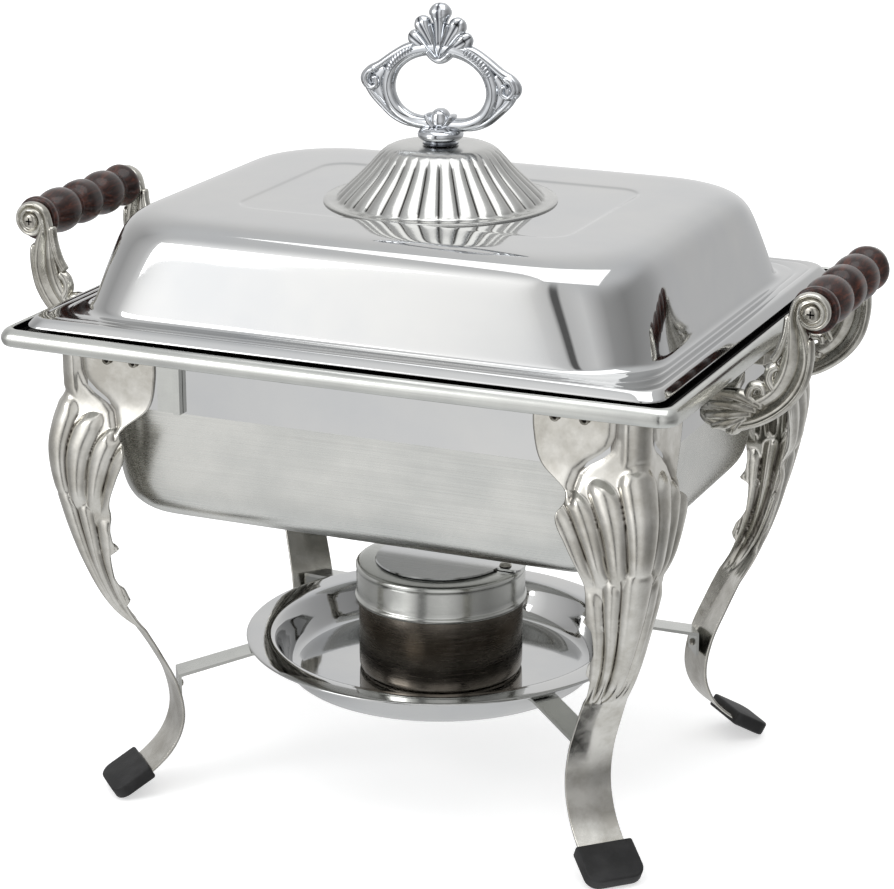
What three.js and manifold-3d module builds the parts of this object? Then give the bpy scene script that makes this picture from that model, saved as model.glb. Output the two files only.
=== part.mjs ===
// Half-size chafing dish: a food pan in a water pan on a four-legged stand, with a lid above and a
// fuel holder below. Millimetres, +Z up, +X along the long front, -Y at the front, and the origin on
// the table under the middle of the stand. Sheet parts are drawn a little thicker than real sheet,
// and pieces that touch keep a gap of 0.3 mm.
import * as THREE from "three";
import { mergeVertices } from "three/addons/utils/BufferGeometryUtils.js";
import Module from "manifold-3d";

const wasm = await Module();
wasm.setup();

// ---------------------------------------------------------------- driving dimensions
const GAP = 0.3;
const SHEET = 1.2;

// Frame rim: a shelf with an outer fascia that curls over at the top.
const RIM_LENGTH = 175.7; // half length at the top edge
const RIM_WIDTH = 142.5; // half width at the top edge
const RIM_TOP = 261.2;
const RIM_BOTTOM = 252.2;
const SHELF_TOP = 256;
const SHELF_INNER = 152.4;
const LONG_SIDE_BOW = 2.5;

// Apron strips under the rim, which the legs are riveted to.
const APRON_X = 157;
const APRON_Y = 123;
const APRON_BOTTOM = 221.5;
const APRON_TOP = 254.2;
const APRON_HALF_LENGTH = 141;
const APRON_HALF_WIDTH = 107;

// Pans.
const WATER_FLANGE = 171;
const WATER_WALL_TOP = 150;
const WATER_WALL_BOTTOM = 144.7;
const WATER_BOTTOM = 154.6;
const FOOD_FLANGE = 162.4;
const FOOD_TOP = 264.5;
const FOOD_WALL_TOP = 146;
const FOOD_WALL_BOTTOM = 140;
const FOOD_BOTTOM = 196;

// Lid.
const LID_FLANGE = 170.2;
const LID_WIDTH_STEP = 31.8; // half length less half width
const LID_EDGE = 262.0;
const LID_LEDGE = 265.8;
const LID_TOP = 313.4;

// Lid handle.
const DOME_FLANGE_RADIUS = 60.5;
const DOME_RADIUS = 53.4;
const DOME_NECK_RADIUS = 21.3;
const DOME_NECK_Z = 341.7;
const COLLAR_Z = [342, 351.4];
const COLLAR_RADIUS = 12;
const RING_THICKNESS = 8;

// Legs: a folded sheet whose keel runs down and in, then out to the foot.
const LEG_SHEET = 1.5;
const LEG_CORNER = new THREE.Vector2(
  APRON_X + GAP + LEG_SHEET / 2,
  APRON_Y + GAP + LEG_SHEET / 2,
);
const LEG_TOP = 251.8;
const LEG_TIP_Z = 4;
const KEEL_RADIUS = 11.7;
const KEEL_INSET = KEEL_RADIUS * (Math.SQRT2 - 1);
// [height, keel's distance out from the corner, half width of the sheet, fold angle in degrees]
const LEG_STATIONS = [
  [LEG_TOP, -KEEL_INSET, 53.3, 45],
  [238, -KEEL_INSET, 53.3, 45],
  [222, -KEEL_INSET + 0.3, 49.5, 45],
  [209, 0, 38, 45],
  [197, 2.7, 44, 45],
  [184, 2, 38, 45],
  [168, -1.5, 29, 45],
  [150, -6.5, 24, 44],
  [132, -13, 18, 40],
  [114, -21.5, 14, 30],
  [97, -33, 12.2, 14],
  [79, -44, 12, 6],
  [60, -53, 12.2, 5],
  [42, -56, 12.3, 4],
  [27, -51, 12.3, 3],
  [15, -39.5, 12.5, 1],
  [LEG_TIP_Z, -21, 12.5, 0],
];
const CAP_LENGTH = 23;
const CAP_WIDTH = 31;
const CAP_THICKNESS = 7.4;

// Burner tray and its braces.
const TRAY_RADIUS = 104.8;
const TRAY_RIM_WIDTH = 12.7;
const TRAY_FLOOR_RADIUS = 80;
const TRAY_TOP = 75;
const TRAY_FLOOR = 55;
const BRACE_WIDTH = 14.5;
const BRACE_LEG_Z = 64.5;
const BRACE_LEG_RADIUS = 143.5;

// Fuel holder.
const CUP_RADIUS = 44.2;
const CUP_TOP = 112.8;
const COVER_RADIUS = 45.9;
const COVER_BOTTOM = 96;
const COVER_TOP = 116.4;
const PORT_RADIUS = 31;
const DISC_RADIUS = 35.2;
const PIVOT_X = 37.5;

// Side handles.
const EYE_X = 215;
const EYE_Z = 288;
const LEFT_HANDLE_RISE = 5; // the left handle is fixed this much higher than the right one
const BRACKET_Y = [46.6, 53];
const SCREW_HEAD_RADIUS = 4.4;
const SCREW_RADIUS = 2.2;

const materials = {
  polished: { color: 0xd9dadd, roughness: 0.12, metalness: 1 },
  satin: { color: 0xcfd0cb, roughness: 0.35, metalness: 1 },
  stamped: { color: 0xb9b5aa, roughness: 0.3, metalness: 1 },
  casting: { color: 0xa7a59c, roughness: 0.28, metalness: 1 },
  chrome: { color: 0xdfe1e4, roughness: 0.08, metalness: 1 },
  cup: { color: 0x6b655e, roughness: 0.35, metalness: 1 },
  wood: { color: 0x43211b, roughness: 0.2, metalness: 0 },
  rubber: { color: 0x1d1d1e, roughness: 0.8, metalness: 0 },
};

const dish = new THREE.Group();

/** Adds one named mesh to the dish. */
function add(name, geometry, material) {
  const mesh = new THREE.Mesh(geometry, new THREE.MeshStandardMaterial(materials[material]));
  mesh.name = name;
  dish.add(mesh);
  return mesh;
}

// ---------------------------------------------------------------- shape helpers

/** A manifold-3d solid from a closed three.js geometry. */
function toSolid(geometry) {
  const bare = new THREE.BufferGeometry().setAttribute("position", geometry.getAttribute("position"));
  if (geometry.index) bare.setIndex(geometry.index);
  const merged = mergeVertices(bare, 1e-3);
  return new wasm.Manifold(
    new wasm.Mesh({
      numProp: 3,
      vertProperties: merged.getAttribute("position").array,
      triVerts: new Uint32Array(merged.index.array),
    }),
  );
}

/** A three.js geometry from a manifold-3d solid. */
function toGeometry(solid) {
  const mesh = solid.getMesh();
  const geometry = new THREE.BufferGeometry();
  geometry.setAttribute("position", new THREE.BufferAttribute(mesh.vertProperties, 3));
  geometry.setIndex(new THREE.BufferAttribute(mesh.triVerts, 1));
  geometry.computeVertexNormals();
  return geometry;
}

/** A cylinder standing on +Z, between two heights. */
function rod(radius, low, high, sides = 20) {
  const geometry = new THREE.CylinderGeometry(radius, radius, high - low, sides);
  return geometry.rotateX(Math.PI / 2).translate(0, 0, (low + high) / 2);
}

/** A box between two corners. */
function block(low, high) {
  const size = high.map((value, axis) => value - low[axis]);
  const middle = high.map((value, axis) => (value + low[axis]) / 2);
  return new THREE.BoxGeometry(...size).translate(...middle);
}

/** A turned body about Z, from a profile of [radius, height] points. */
function turned(profile, sides = 40) {
  const points = profile.map(([radius, height]) => new THREE.Vector2(radius, height));
  return new THREE.LatheGeometry(points, sides).rotateX(Math.PI / 2);
}

// The rings of a squared-up body pass these stations: steps on each corner, and on each side.
const CORNER_STEPS = 4;
const LONG_STEPS = 4;
const SHORT_STEPS = 2;

/** The stations around a rounded rectangle, from the middle of the front, anticlockwise. */
function ringStations() {
  const stations = [];
  const quarters = [
    [1, -1, -90],
    [1, 1, 0],
    [-1, 1, 90],
    [-1, -1, 180],
  ];
  for (const [index, [sideX, sideY, start]] of quarters.entries()) {
    const long = index % 2 === 0;
    const steps = (long ? LONG_STEPS : SHORT_STEPS) / 2;
    for (let step = 0; step < steps; step++) {
      stations.push({ sideX, sideY, start, turn: 0, along: step / steps, long });
    }
    for (let step = 0; step <= CORNER_STEPS; step++) {
      stations.push({ sideX, sideY, start, turn: (90 * step) / CORNER_STEPS, along: 1, long });
    }
    const rest = (long ? SHORT_STEPS : LONG_STEPS) / 2;
    for (let step = 1; step < rest; step++) {
      stations.push({ sideX, sideY, start, turn: 90, along: 1 - step / rest, long: !long });
    }
  }
  return stations;
}
const STATIONS = ringStations();

/** One station's point on the rounded rectangle a by b, with its long sides bowed outwards. */
function ringPoint(station, a, b, radius, bow) {
  const { sideX, sideY, start, turn, along, long } = station;
  const angle = THREE.MathUtils.degToRad(start + turn);
  let x = sideX * (a - radius) + radius * Math.cos(angle);
  let y = sideY * (b - radius) + radius * Math.sin(angle);
  if (along < 1) {
    if (long) x = sideX * (a - radius) * along;
    else y = sideY * (b - radius) * along;
  }
  const bowed = 1 - (x / a) ** 2;
  return [x, y + Math.sign(y) * bow * Math.max(bowed, 0)];
}

/**
 * A body whose level rings are rounded rectangles: turned first, then squared up. The profile holds
 * [half length, height, corner radius] points, and half width is half length less widthStep.
 */
function squared(profile, widthStep, bow = 0) {
  const points = profile.map(([a, height]) => new THREE.Vector2(a, height));
  const geometry = new THREE.LatheGeometry(points, STATIONS.length);
  const position = geometry.getAttribute("position");
  for (let index = 0; index < position.count; index++) {
    const [a, height, radius] = profile[index % profile.length];
    const station = STATIONS[Math.floor(index / profile.length) % STATIONS.length];
    const [x, y] = a === 0 ? [0, 0] : ringPoint(station, a, a - widthStep, radius, bow);
    position.setXYZ(index, x, y, height);
  }
  return geometry;
}

/** A plate bent to surface(u, v), with u and v from 0 to 1 and its thickness centred there. */
function bentPlate(surface, columns, rows, thickness) {
  const geometry = new THREE.BoxGeometry(1, 1, 1, columns, rows, 1);
  const position = geometry.getAttribute("position");
  const step = 1e-4;
  for (let index = 0; index < position.count; index++) {
    const u = position.getX(index) + 0.5;
    const v = position.getY(index) + 0.5;
    const w = position.getZ(index);
    const point = surface(u, v);
    const across = surface(u + step, v).sub(surface(u - step, v));
    const down = surface(u, v + step).sub(surface(u, v - step));
    const normal = across.cross(down).normalize();
    point.addScaledVector(normal, w * thickness);
    position.setXYZ(index, point.x, point.y, point.z);
  }
  return geometry;
}

/** Adds a piece drawn at the front right corner, mirrored into the corner with these signs. */
function addAtCorner(name, geometry, material, signX, signY, rise = 0) {
  const mesh = add(name, geometry, material);
  mesh.scale.set(signX, -signY, 1);
  mesh.position.z = rise;
}

const CORNERS = [
  ["front_left", -1, -1],
  ["front_right", 1, -1],
  ["back_left", -1, 1],
  ["back_right", 1, 1],
];

// ---------------------------------------------------------------- stand

function frameRim() {
  const outline = [
    [SHELF_INNER, SHELF_TOP - 1.5, 24],
    [RIM_LENGTH + 2.1, SHELF_TOP - 1.5, 9],
    [RIM_LENGTH + 1.9, RIM_BOTTOM + 0.2, 9],
    [RIM_LENGTH + 3.6, RIM_BOTTOM, 9],
    [RIM_LENGTH + 4.7, RIM_TOP - 5, 9],
    [RIM_LENGTH + 3.2, RIM_TOP - 1.6, 8],
    [RIM_LENGTH + 0.2, RIM_TOP, 7],
    [RIM_LENGTH - 0.8, RIM_TOP - 1.1, 7],
    [RIM_LENGTH + 1.6, RIM_TOP - 2.6, 8],
    [RIM_LENGTH + 2.6, SHELF_TOP, 9],
    [SHELF_INNER, SHELF_TOP, 24],
  ];
  const widthStep = RIM_LENGTH - RIM_WIDTH;
  add("frame_rim", squared([...outline, outline[0]], widthStep, LONG_SIDE_BOW), "satin");
}

function aprons() {
  for (const [name, side] of [["apron_front", -1], ["apron_back", 1]]) {
    const [low, high] = [side * APRON_Y, side * (APRON_Y - SHEET)].sort((p, q) => p - q);
    const strip = block(
      [-APRON_HALF_LENGTH, low, APRON_BOTTOM],
      [APRON_HALF_LENGTH, high, APRON_TOP],
    );
    add(name, strip, "polished");
  }
  for (const [name, side] of [["apron_left", -1], ["apron_right", 1]]) {
    const [low, high] = [side * APRON_X, side * (APRON_X - SHEET)].sort((p, q) => p - q);
    const strip = block(
      [low, -APRON_HALF_WIDTH, APRON_BOTTOM],
      [high, APRON_HALF_WIDTH, APRON_TOP],
    );
    add(name, strip, "polished");
  }
}

/** The folded straps where an apron strip's ends are joined, one on the front and one behind. */
function apronStraps() {
  const section = new THREE.Shape([
    new THREE.Vector2(-100.2, -APRON_Y - GAP),
    new THREE.Vector2(-100.2, -APRON_Y - GAP - SHEET),
    new THREE.Vector2(-91.2, -APRON_Y - GAP - SHEET),
    new THREE.Vector2(-90.2, -APRON_Y - GAP - 3.4),
    new THREE.Vector2(-86.6, -APRON_Y - GAP - 3.4),
    new THREE.Vector2(-86.6, -APRON_Y - GAP),
  ]);
  const height = APRON_TOP - APRON_BOTTOM - 2.6;
  const strap = new THREE.ExtrudeGeometry(section, { depth: height, bevelEnabled: false });
  strap.translate(0, 0, APRON_BOTTOM + 0.2);
  add("apron_strap_front", strap, "satin");
  add("apron_strap_back", strap.clone().rotateZ(Math.PI), "satin");
}

// The leg's keel and its sheet, as smooth functions of how far down the leg a point is.
const legKeel = new THREE.CatmullRomCurve3(
  LEG_STATIONS.map(([height, out]) => new THREE.Vector3(out, 0, height)),
  false,
  "centripetal",
);
const legSection = new THREE.CatmullRomCurve3(
  LEG_STATIONS.map(([, , half, fold]) => new THREE.Vector3(half, fold, 0)),
  false,
  "centripetal",
);

/** A point on the front right leg's sheet: across from -1 to 1, down from 0 to 1 or past it. */
function legPoint(across, down, halfWidth) {
  const t = Math.min(Math.max(down, 0), 1);
  const keel = legKeel.getPoint(t);
  const overrun = down - t;
  if (overrun !== 0) {
    const onward = legKeel.getTangent(t).multiplyScalar(overrun * legKeel.getLength());
    keel.add(onward);
  }
  const section = legSection.getPoint(t);
  const fold = THREE.MathUtils.degToRad(Math.max(section.y, 0));
  const half = halfWidth ?? section.x;
  const knee = Math.max(KEEL_RADIUS * fold, half / 4);
  const part = Math.abs(across);
  const distance = part < 0.25 ? part * 4 * knee : knee + ((part - 0.25) / 0.75) * (half - knee);
  const turn = Math.min(distance / KEEL_RADIUS, fold);
  const straight = distance - turn * KEEL_RADIUS;
  const out = keel.x - KEEL_RADIUS * (1 - Math.cos(turn)) - straight * Math.sin(turn);
  const sideways = Math.sign(across) * (KEEL_RADIUS * Math.sin(turn) + straight * Math.cos(turn));
  return new THREE.Vector3(
    LEG_CORNER.x + (out + sideways) * Math.SQRT1_2,
    -LEG_CORNER.y - (out - sideways) * Math.SQRT1_2,
    keel.z,
  );
}

const capStart = 1 - (CAP_LENGTH - 4) / legKeel.getLength();
const capEnd = 1 + 4 / legKeel.getLength();

/** The rubber cap on the leg's tip, with a slot that the strap's end stands in, and a flat sole. */
function footCapSolid() {
  const body = bentPlate(
    (u, v) => {
      const edge = Math.min((1 - v) * 3, 1);
      const half = (CAP_WIDTH / 2) * (1 - 0.22 * (1 - edge) ** 2);
      return legPoint(2 * u - 1, capStart + v * (capEnd - capStart), half);
    },
    2,
    5,
    CAP_THICKNESS,
  );
  const slot = bentPlate(
    (u, v) => legPoint(2 * u - 1, capStart - 0.05 + v * (1.003 - capStart + 0.05), 13.2),
    2,
    5,
    LEG_SHEET + 1,
  );
  const room = toSolid(block([60, -200, 0], [240, -40, 60]));
  return toSolid(body).subtract(toSolid(slot)).intersect(room);
}

function legsAndFeet() {
  const leg = bentPlate((u, v) => legPoint(2 * u - 1, v), 8, 22, LEG_SHEET);
  const cap = toGeometry(footCapSolid());
  for (const [name, signX, signY] of CORNERS) {
    addAtCorner(`leg_${name}`, leg, "stamped", signX, signY);
    addAtCorner(`foot_cap_${name}`, cap, "rubber", signX, signY);
  }
}

/** Domed rivets through each leg's top plates into the aprons. */
function legRivets() {
  const dome = turned([[0, 0], [2.3, 0], [1.7, 1.2], [0, 1.6]], 8);
  const front = dome.clone().rotateX(Math.PI / 2);
  const side = dome.clone().rotateY(Math.PI / 2);
  const outFront = LEG_CORNER.y + LEG_SHEET / 2 + GAP;
  const outSide = LEG_CORNER.x + LEG_SHEET / 2 + GAP;
  for (const [name, signX, signY] of CORNERS) {
    for (const [place, x] of [["inner", 113.4], ["outer", 128.4]]) {
      const rivet = front.clone().translate(x, -outFront, 245.4);
      addAtCorner(`leg_rivet_${name}_${place}`, rivet, "stamped", signX, signY);
    }
    const rivet = side.clone().translate(outSide, -103, 244);
    addAtCorner(`leg_rivet_${name}_side`, rivet, "stamped", signX, signY);
  }
}

const BRACE_ANGLE = Math.atan2(86.4, 120.4);

function burnerTray() {
  const outer = [
    [0, TRAY_FLOOR - SHEET],
    [TRAY_FLOOR_RADIUS, TRAY_FLOOR - SHEET],
    [86.5, 59.5],
    [TRAY_RADIUS - TRAY_RIM_WIDTH - 2, TRAY_TOP - 2.6],
    [TRAY_RADIUS - TRAY_RIM_WIDTH + 1, TRAY_TOP - SHEET],
    [TRAY_RADIUS, TRAY_TOP - SHEET],
    [TRAY_RADIUS, TRAY_TOP],
    [TRAY_RADIUS - TRAY_RIM_WIDTH, TRAY_TOP],
    [TRAY_RADIUS - TRAY_RIM_WIDTH - 3, TRAY_TOP - 1.8],
    [85.3, 60.2],
    [TRAY_FLOOR_RADIUS - 1, TRAY_FLOOR],
    [0, TRAY_FLOOR],
  ];
  add("burner_tray", turned(outer, 36), "polished");
}

function braces() {
  const sheet = 1.5;
  const rimUnder = TRAY_TOP - SHEET - GAP;
  const side = new THREE.Shape([
    new THREE.Vector2(93.5, rimUnder),
    new THREE.Vector2(93.5, rimUnder - sheet),
    new THREE.Vector2(103.6, rimUnder - sheet),
    new THREE.Vector2(BRACE_LEG_RADIUS - sheet, BRACE_LEG_Z - sheet),
    new THREE.Vector2(BRACE_LEG_RADIUS - sheet, BRACE_LEG_Z - 13),
    new THREE.Vector2(BRACE_LEG_RADIUS, BRACE_LEG_Z - 13),
    new THREE.Vector2(BRACE_LEG_RADIUS, BRACE_LEG_Z),
    new THREE.Vector2(104, rimUnder),
  ]);
  const strap = new THREE.ExtrudeGeometry(side, { depth: BRACE_WIDTH, bevelEnabled: false });
  strap.rotateX(Math.PI / 2).translate(0, BRACE_WIDTH / 2, 0).rotateZ(-BRACE_ANGLE);
  const rivet = turned([[0, 0], [2.2, 0], [1.6, 1.1], [0, 1.5]], 8);
  rivet.rotateY(-Math.PI / 2).translate(BRACE_LEG_RADIUS - sheet - GAP, 0, BRACE_LEG_Z - 7.5);
  rivet.rotateZ(-BRACE_ANGLE);
  for (const [name, signX, signY] of CORNERS) {
    addAtCorner(`brace_${name}`, strap, "satin", signX, signY);
    addAtCorner(`brace_rivet_${name}`, rivet, "stamped", signX, signY);
  }
}

// ---------------------------------------------------------------- side handles

/** The cast bracket's outline in the X-Z plane: a root on the apron, and an S up to the eye. */
function bracketShape() {
  const shape = new THREE.Shape();
  shape.moveTo(APRON_X + GAP, 224.6);
  shape.lineTo(174, 224.6);
  shape.quadraticCurveTo(190, 227, 203, 236);
  shape.quadraticCurveTo(214.5, 246, 217, 262);
  shape.lineTo(218.5, 274);
  shape.absarc(EYE_X, EYE_Z, 11, -1.05, Math.PI + 0.45, false);
  shape.quadraticCurveTo(199.5, 276, 200.6, 268);
  shape.quadraticCurveTo(193.5, 262, 197, 254.5);
  shape.quadraticCurveTo(194, 244, 185, 241);
  shape.quadraticCurveTo(181, 246.5, 177.5, 246);
  shape.lineTo(APRON_X + GAP, 246);
  shape.closePath();
  const bore = new THREE.Path();
  bore.absarc(EYE_X, EYE_Z, SCREW_RADIUS + GAP, 0, 2 * Math.PI, true);
  shape.holes.push(bore);
  return shape;
}

/** The wide flat-topped root that bears on the apron. */
function bracketRoot() {
  const plan = new THREE.Shape([
    new THREE.Vector2(APRON_X + GAP, -BRACKET_Y[1] + 0.1),
    new THREE.Vector2(178, -BRACKET_Y[1] + 0.1),
    new THREE.Vector2(178, -29),
    new THREE.Vector2(172, -16),
    new THREE.Vector2(APRON_X + GAP, -16),
  ]);
  const root = new THREE.ExtrudeGeometry(plan, { depth: 6, bevelEnabled: false });
  return root.translate(0, 0, 239.9);
}

function brackets() {
  const depth = BRACKET_Y[1] - BRACKET_Y[0];
  const scroll = new THREE.ExtrudeGeometry(bracketShape(), {
    depth,
    bevelEnabled: false,
    curveSegments: 5,
  });
  scroll.rotateX(Math.PI / 2).translate(0, -BRACKET_Y[0], 0);
  const bracket = toGeometry(toSolid(scroll).add(toSolid(bracketRoot())));
  const profile = [
    [0, 0],
    [SCREW_RADIUS, 0],
    [SCREW_RADIUS, 14.6],
    [SCREW_HEAD_RADIUS, 14.6],
    [SCREW_HEAD_RADIUS - 0.4, 16.4],
    [SCREW_HEAD_RADIUS - 2, 17.4],
    [0, 17.6],
  ];
  const screw = turned(profile, 16).rotateX(Math.PI / 2).translate(EYE_X, -38.7, EYE_Z);
  for (const [name, signX, signY] of CORNERS) {
    const rise = signX < 0 ? LEFT_HANDLE_RISE : 0;
    addAtCorner(`handle_bracket_${name}`, bracket, "casting", signX, signY, rise);
    addAtCorner(`grip_screw_${name}`, screw, "stamped", signX, signY, rise);
  }
}

/** The turned wooden grip: flared end collar, ball, middle ring, ball, flared end collar. */
function grips() {
  const half = [
    [46.2, 11.6],
    [43, 11.8],
    [38.4, 9.4],
    [35.6, 8.4],
    [31.6, 10.4],
    [27, 11.8],
    [22.5, 12.1],
    [17, 11.3],
    [13, 8.8],
    [10.4, 8.4],
    [7.4, 10.4],
    [4, 11.7],
  ];
  const upper = half.map(([height, radius]) => [radius, height]);
  const lower = half.map(([height, radius]) => [radius, -height]);
  const end = half[0][0];
  const wood = turned([[0, -end], ...lower, ...upper.reverse(), [0, end]], 16);
  const bore = toSolid(rod(SCREW_RADIUS + GAP, 38, end + 10, 12));
  const otherBore = toSolid(rod(SCREW_RADIUS + GAP, -end - 10, -38, 12));
  const bored = toGeometry(toSolid(wood).subtract(bore).subtract(otherBore));
  bored.rotateX(Math.PI / 2);
  add("grip_left", bored.clone().translate(-EYE_X, 0, EYE_Z + LEFT_HANDLE_RISE), "wood");
  add("grip_right", bored.clone().translate(EYE_X, 0, EYE_Z), "wood");
}

// ---------------------------------------------------------------- pans

function waterPan() {
  const shelf = SHELF_TOP + GAP;
  const outer = [
    [0, WATER_BOTTOM, 0],
    [118, WATER_BOTTOM, 12],
    [130, WATER_BOTTOM + 2.6, 20],
    [139.5, WATER_BOTTOM + 9.5, 28],
    [WATER_WALL_BOTTOM, WATER_BOTTOM + 22, 34],
    [WATER_WALL_TOP, shelf - 3, 28],
    [WATER_WALL_TOP + 1.8, shelf, 28],
    [WATER_FLANGE, shelf, 8],
  ];
  const inner = [
    [WATER_FLANGE, shelf + SHEET, 8],
    [WATER_WALL_TOP + 1.4, shelf + SHEET, 27],
    [WATER_WALL_TOP - SHEET, shelf - 2.6, 27],
    [WATER_WALL_BOTTOM - SHEET, WATER_BOTTOM + 22.3, 33],
    [138.4, WATER_BOTTOM + 10.4, 27],
    [129.4, WATER_BOTTOM + 3.8, 19],
    [118, WATER_BOTTOM + SHEET, 12],
    [0, WATER_BOTTOM + SHEET, 0],
  ];
  add("water_pan", squared([...outer, ...inner], 33, 0), "satin");
}

function foodPan() {
  const outer = [
    [0, FOOD_BOTTOM, 0],
    [122, FOOD_BOTTOM, 10],
    [134, FOOD_BOTTOM + 3.5, 18],
    [FOOD_WALL_BOTTOM, FOOD_BOTTOM + 13, 24],
    [FOOD_WALL_TOP, FOOD_TOP - 4, 24],
    [FOOD_WALL_TOP + 2.6, FOOD_TOP - SHEET, 24],
    [FOOD_FLANGE - SHEET, FOOD_TOP - SHEET, 9],
    [FOOD_FLANGE - SHEET, SHELF_TOP + SHEET + 2 * GAP, 9],
    [FOOD_FLANGE, SHELF_TOP + SHEET + 2 * GAP, 10],
    [FOOD_FLANGE, FOOD_TOP - 0.8, 10],
    [FOOD_FLANGE - 0.8, FOOD_TOP, 10],
  ];
  const inner = [
    [FOOD_WALL_TOP + 2, FOOD_TOP, 23],
    [FOOD_WALL_TOP - SHEET, FOOD_TOP - 3.6, 23],
    [FOOD_WALL_BOTTOM - SHEET, FOOD_BOTTOM + 13.4, 23],
    [133.4, FOOD_BOTTOM + 4.6, 17],
    [122, FOOD_BOTTOM + SHEET, 10],
    [0, FOOD_BOTTOM + SHEET, 0],
  ];
  add("food_pan", squared([...outer, ...inner], 32, 0), "satin");
}

// ---------------------------------------------------------------- lid

const STUD_RADIUS = 3;

function lidCover() {
  const bore = STUD_RADIUS + GAP;
  const under = [
    [bore, LID_TOP - 1, 0],
    [127.8, LID_TOP - 1, 39],
    [135.5, LID_TOP - 2.4, 43],
    [141.2, LID_TOP - 5.7, 45],
    [144.6, LID_TOP - 11.2, 45],
    [148.6, 287, 41],
    [151.8, LID_LEDGE + 2.6, 37],
    [155.2, LID_LEDGE - 1, 35],
    [LID_FLANGE - 3.2, LID_LEDGE - 1, 9],
    [LID_FLANGE - 1, LID_EDGE + 0.6, 10],
    [LID_FLANGE - 1, LID_EDGE, 10],
  ];
  const over = [
    [LID_FLANGE, LID_EDGE, 11],
    [LID_FLANGE, LID_EDGE + 0.8, 11],
    [LID_FLANGE - 2.6, LID_LEDGE, 10],
    [155.6, LID_LEDGE, 36],
    [152.8, LID_LEDGE + 3.4, 38],
    [149.6, 287, 42],
    [145.6, LID_TOP - 11, 46],
    [142, LID_TOP - 5, 46],
    [136, LID_TOP - 1.4, 44],
    [128, LID_TOP, 40],
    [bore, LID_TOP, 0],
  ];
  const profile = [...under, ...over, under[0]];
  const geometry = squared(profile, LID_WIDTH_STEP, 0);
  // The stud's hole is round, so its two rings are set back to a circle.
  const position = geometry.getAttribute("position");
  for (let index = 0; index < position.count; index++) {
    const [a, height] = profile[index % profile.length];
    if (a > bore) continue;
    const turn = (Math.floor(index / profile.length) / STATIONS.length) * 2 * Math.PI;
    position.setXYZ(index, a * Math.sin(turn), -a * Math.cos(turn), height);
  }
  add("lid_cover", geometry, "polished");
}

function lidDome() {
  const base = LID_TOP + GAP;
  const under = DOME_NECK_Z - 2.2;
  const outline = [
    [STUD_RADIUS + GAP, under],
    [DOME_NECK_RADIUS - 2.4, under],
    [21, 334.8],
    [28, 325.2],
    [39.4, 318.8],
    [DOME_RADIUS - 0.6, base],
    [DOME_FLANGE_RADIUS, base],
    [DOME_FLANGE_RADIUS, base + SHEET],
    [DOME_RADIUS + 1, base + SHEET],
    [DOME_RADIUS, 315.6],
    [40, 320.2],
    [29, 326.5],
    [22.6, 335.5],
    [DOME_NECK_RADIUS, DOME_NECK_Z - 1.6],
    [DOME_NECK_RADIUS - 1.6, DOME_NECK_Z],
    [STUD_RADIUS + GAP, DOME_NECK_Z],
    [STUD_RADIUS + GAP, under],
  ];
  add("lid_dome", turned(outline, 32), "polished");
}

function lidCollar() {
  const [low, high] = COLLAR_Z;
  const middle = (low + high) / 2;
  const outline = [
    [STUD_RADIUS + GAP, low],
    [8.4, low],
    [COLLAR_RADIUS - 0.8, middle - 2.4],
    [COLLAR_RADIUS, middle],
    [COLLAR_RADIUS - 0.8, middle + 2.4],
    [8.4, high],
    [STUD_RADIUS + GAP, high],
    [STUD_RADIUS + GAP, low],
  ];
  add("lid_collar", turned(outline, 24), "chrome");
}

/** Half of the ring handle's outline on the X-Z plane, from the foot up to the crest. */
function ringOutline(shape) {
  shape.moveTo(-6, 351.8);
  shape.lineTo(6, 351.8);
  shape.quadraticCurveTo(8, 354, 13, 354.2);
  shape.quadraticCurveTo(27, 355, 33.5, 364.5);
  shape.quadraticCurveTo(44.5, 367.5, 43, 377);
  shape.quadraticCurveTo(41, 384.5, 32, 381.5);
  shape.quadraticCurveTo(27, 390.5, 14.5, 395.5);
  shape.quadraticCurveTo(15.5, 404, 8, 408);
  shape.quadraticCurveTo(5, 415.2, 0, 415.2);
  shape.quadraticCurveTo(-5, 415.2, -8, 408);
  shape.quadraticCurveTo(-15.5, 404, -14.5, 395.5);
  shape.quadraticCurveTo(-27, 390.5, -32, 381.5);
  shape.quadraticCurveTo(-41, 384.5, -43, 377);
  shape.quadraticCurveTo(-44.5, 367.5, -33.5, 364.5);
  shape.quadraticCurveTo(-27, 355, -13, 354.2);
  shape.quadraticCurveTo(-8, 354, -6, 351.8);
  return shape;
}

/** The ring's opening, which a hand's fingers hold. */
function ringOpening() {
  const opening = new THREE.Path();
  opening.moveTo(4, 361.6);
  opening.quadraticCurveTo(20, 361, 25, 371);
  opening.quadraticCurveTo(20, 384, 5, 387);
  opening.quadraticCurveTo(0, 383, -5, 387);
  opening.quadraticCurveTo(-20, 384, -25, 371);
  opening.quadraticCurveTo(-20, 361, -4, 361.6);
  opening.lineTo(4, 361.6);
  return opening;
}

function ringHandle() {
  const bevel = 1.8;
  const shape = ringOutline(new THREE.Shape());
  shape.holes.push(ringOpening());
  const ring = new THREE.ExtrudeGeometry(shape, {
    depth: RING_THICKNESS - 2 * bevel,
    bevelThickness: bevel,
    bevelSize: bevel,
    bevelOffset: -bevel,
    bevelSegments: 1,
    curveSegments: 4,
  });
  ring.rotateX(Math.PI / 2).translate(0, (RING_THICKNESS - 2 * bevel) / 2, 0);
  const bore = toSolid(rod(STUD_RADIUS + GAP, 340, 359, 16));
  const room = toSolid(block([-60, -20, COLLAR_Z[1] + GAP], [60, 20, 440]));
  add("ring_handle", toGeometry(toSolid(ring).intersect(room).subtract(bore)), "chrome");
}

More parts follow.
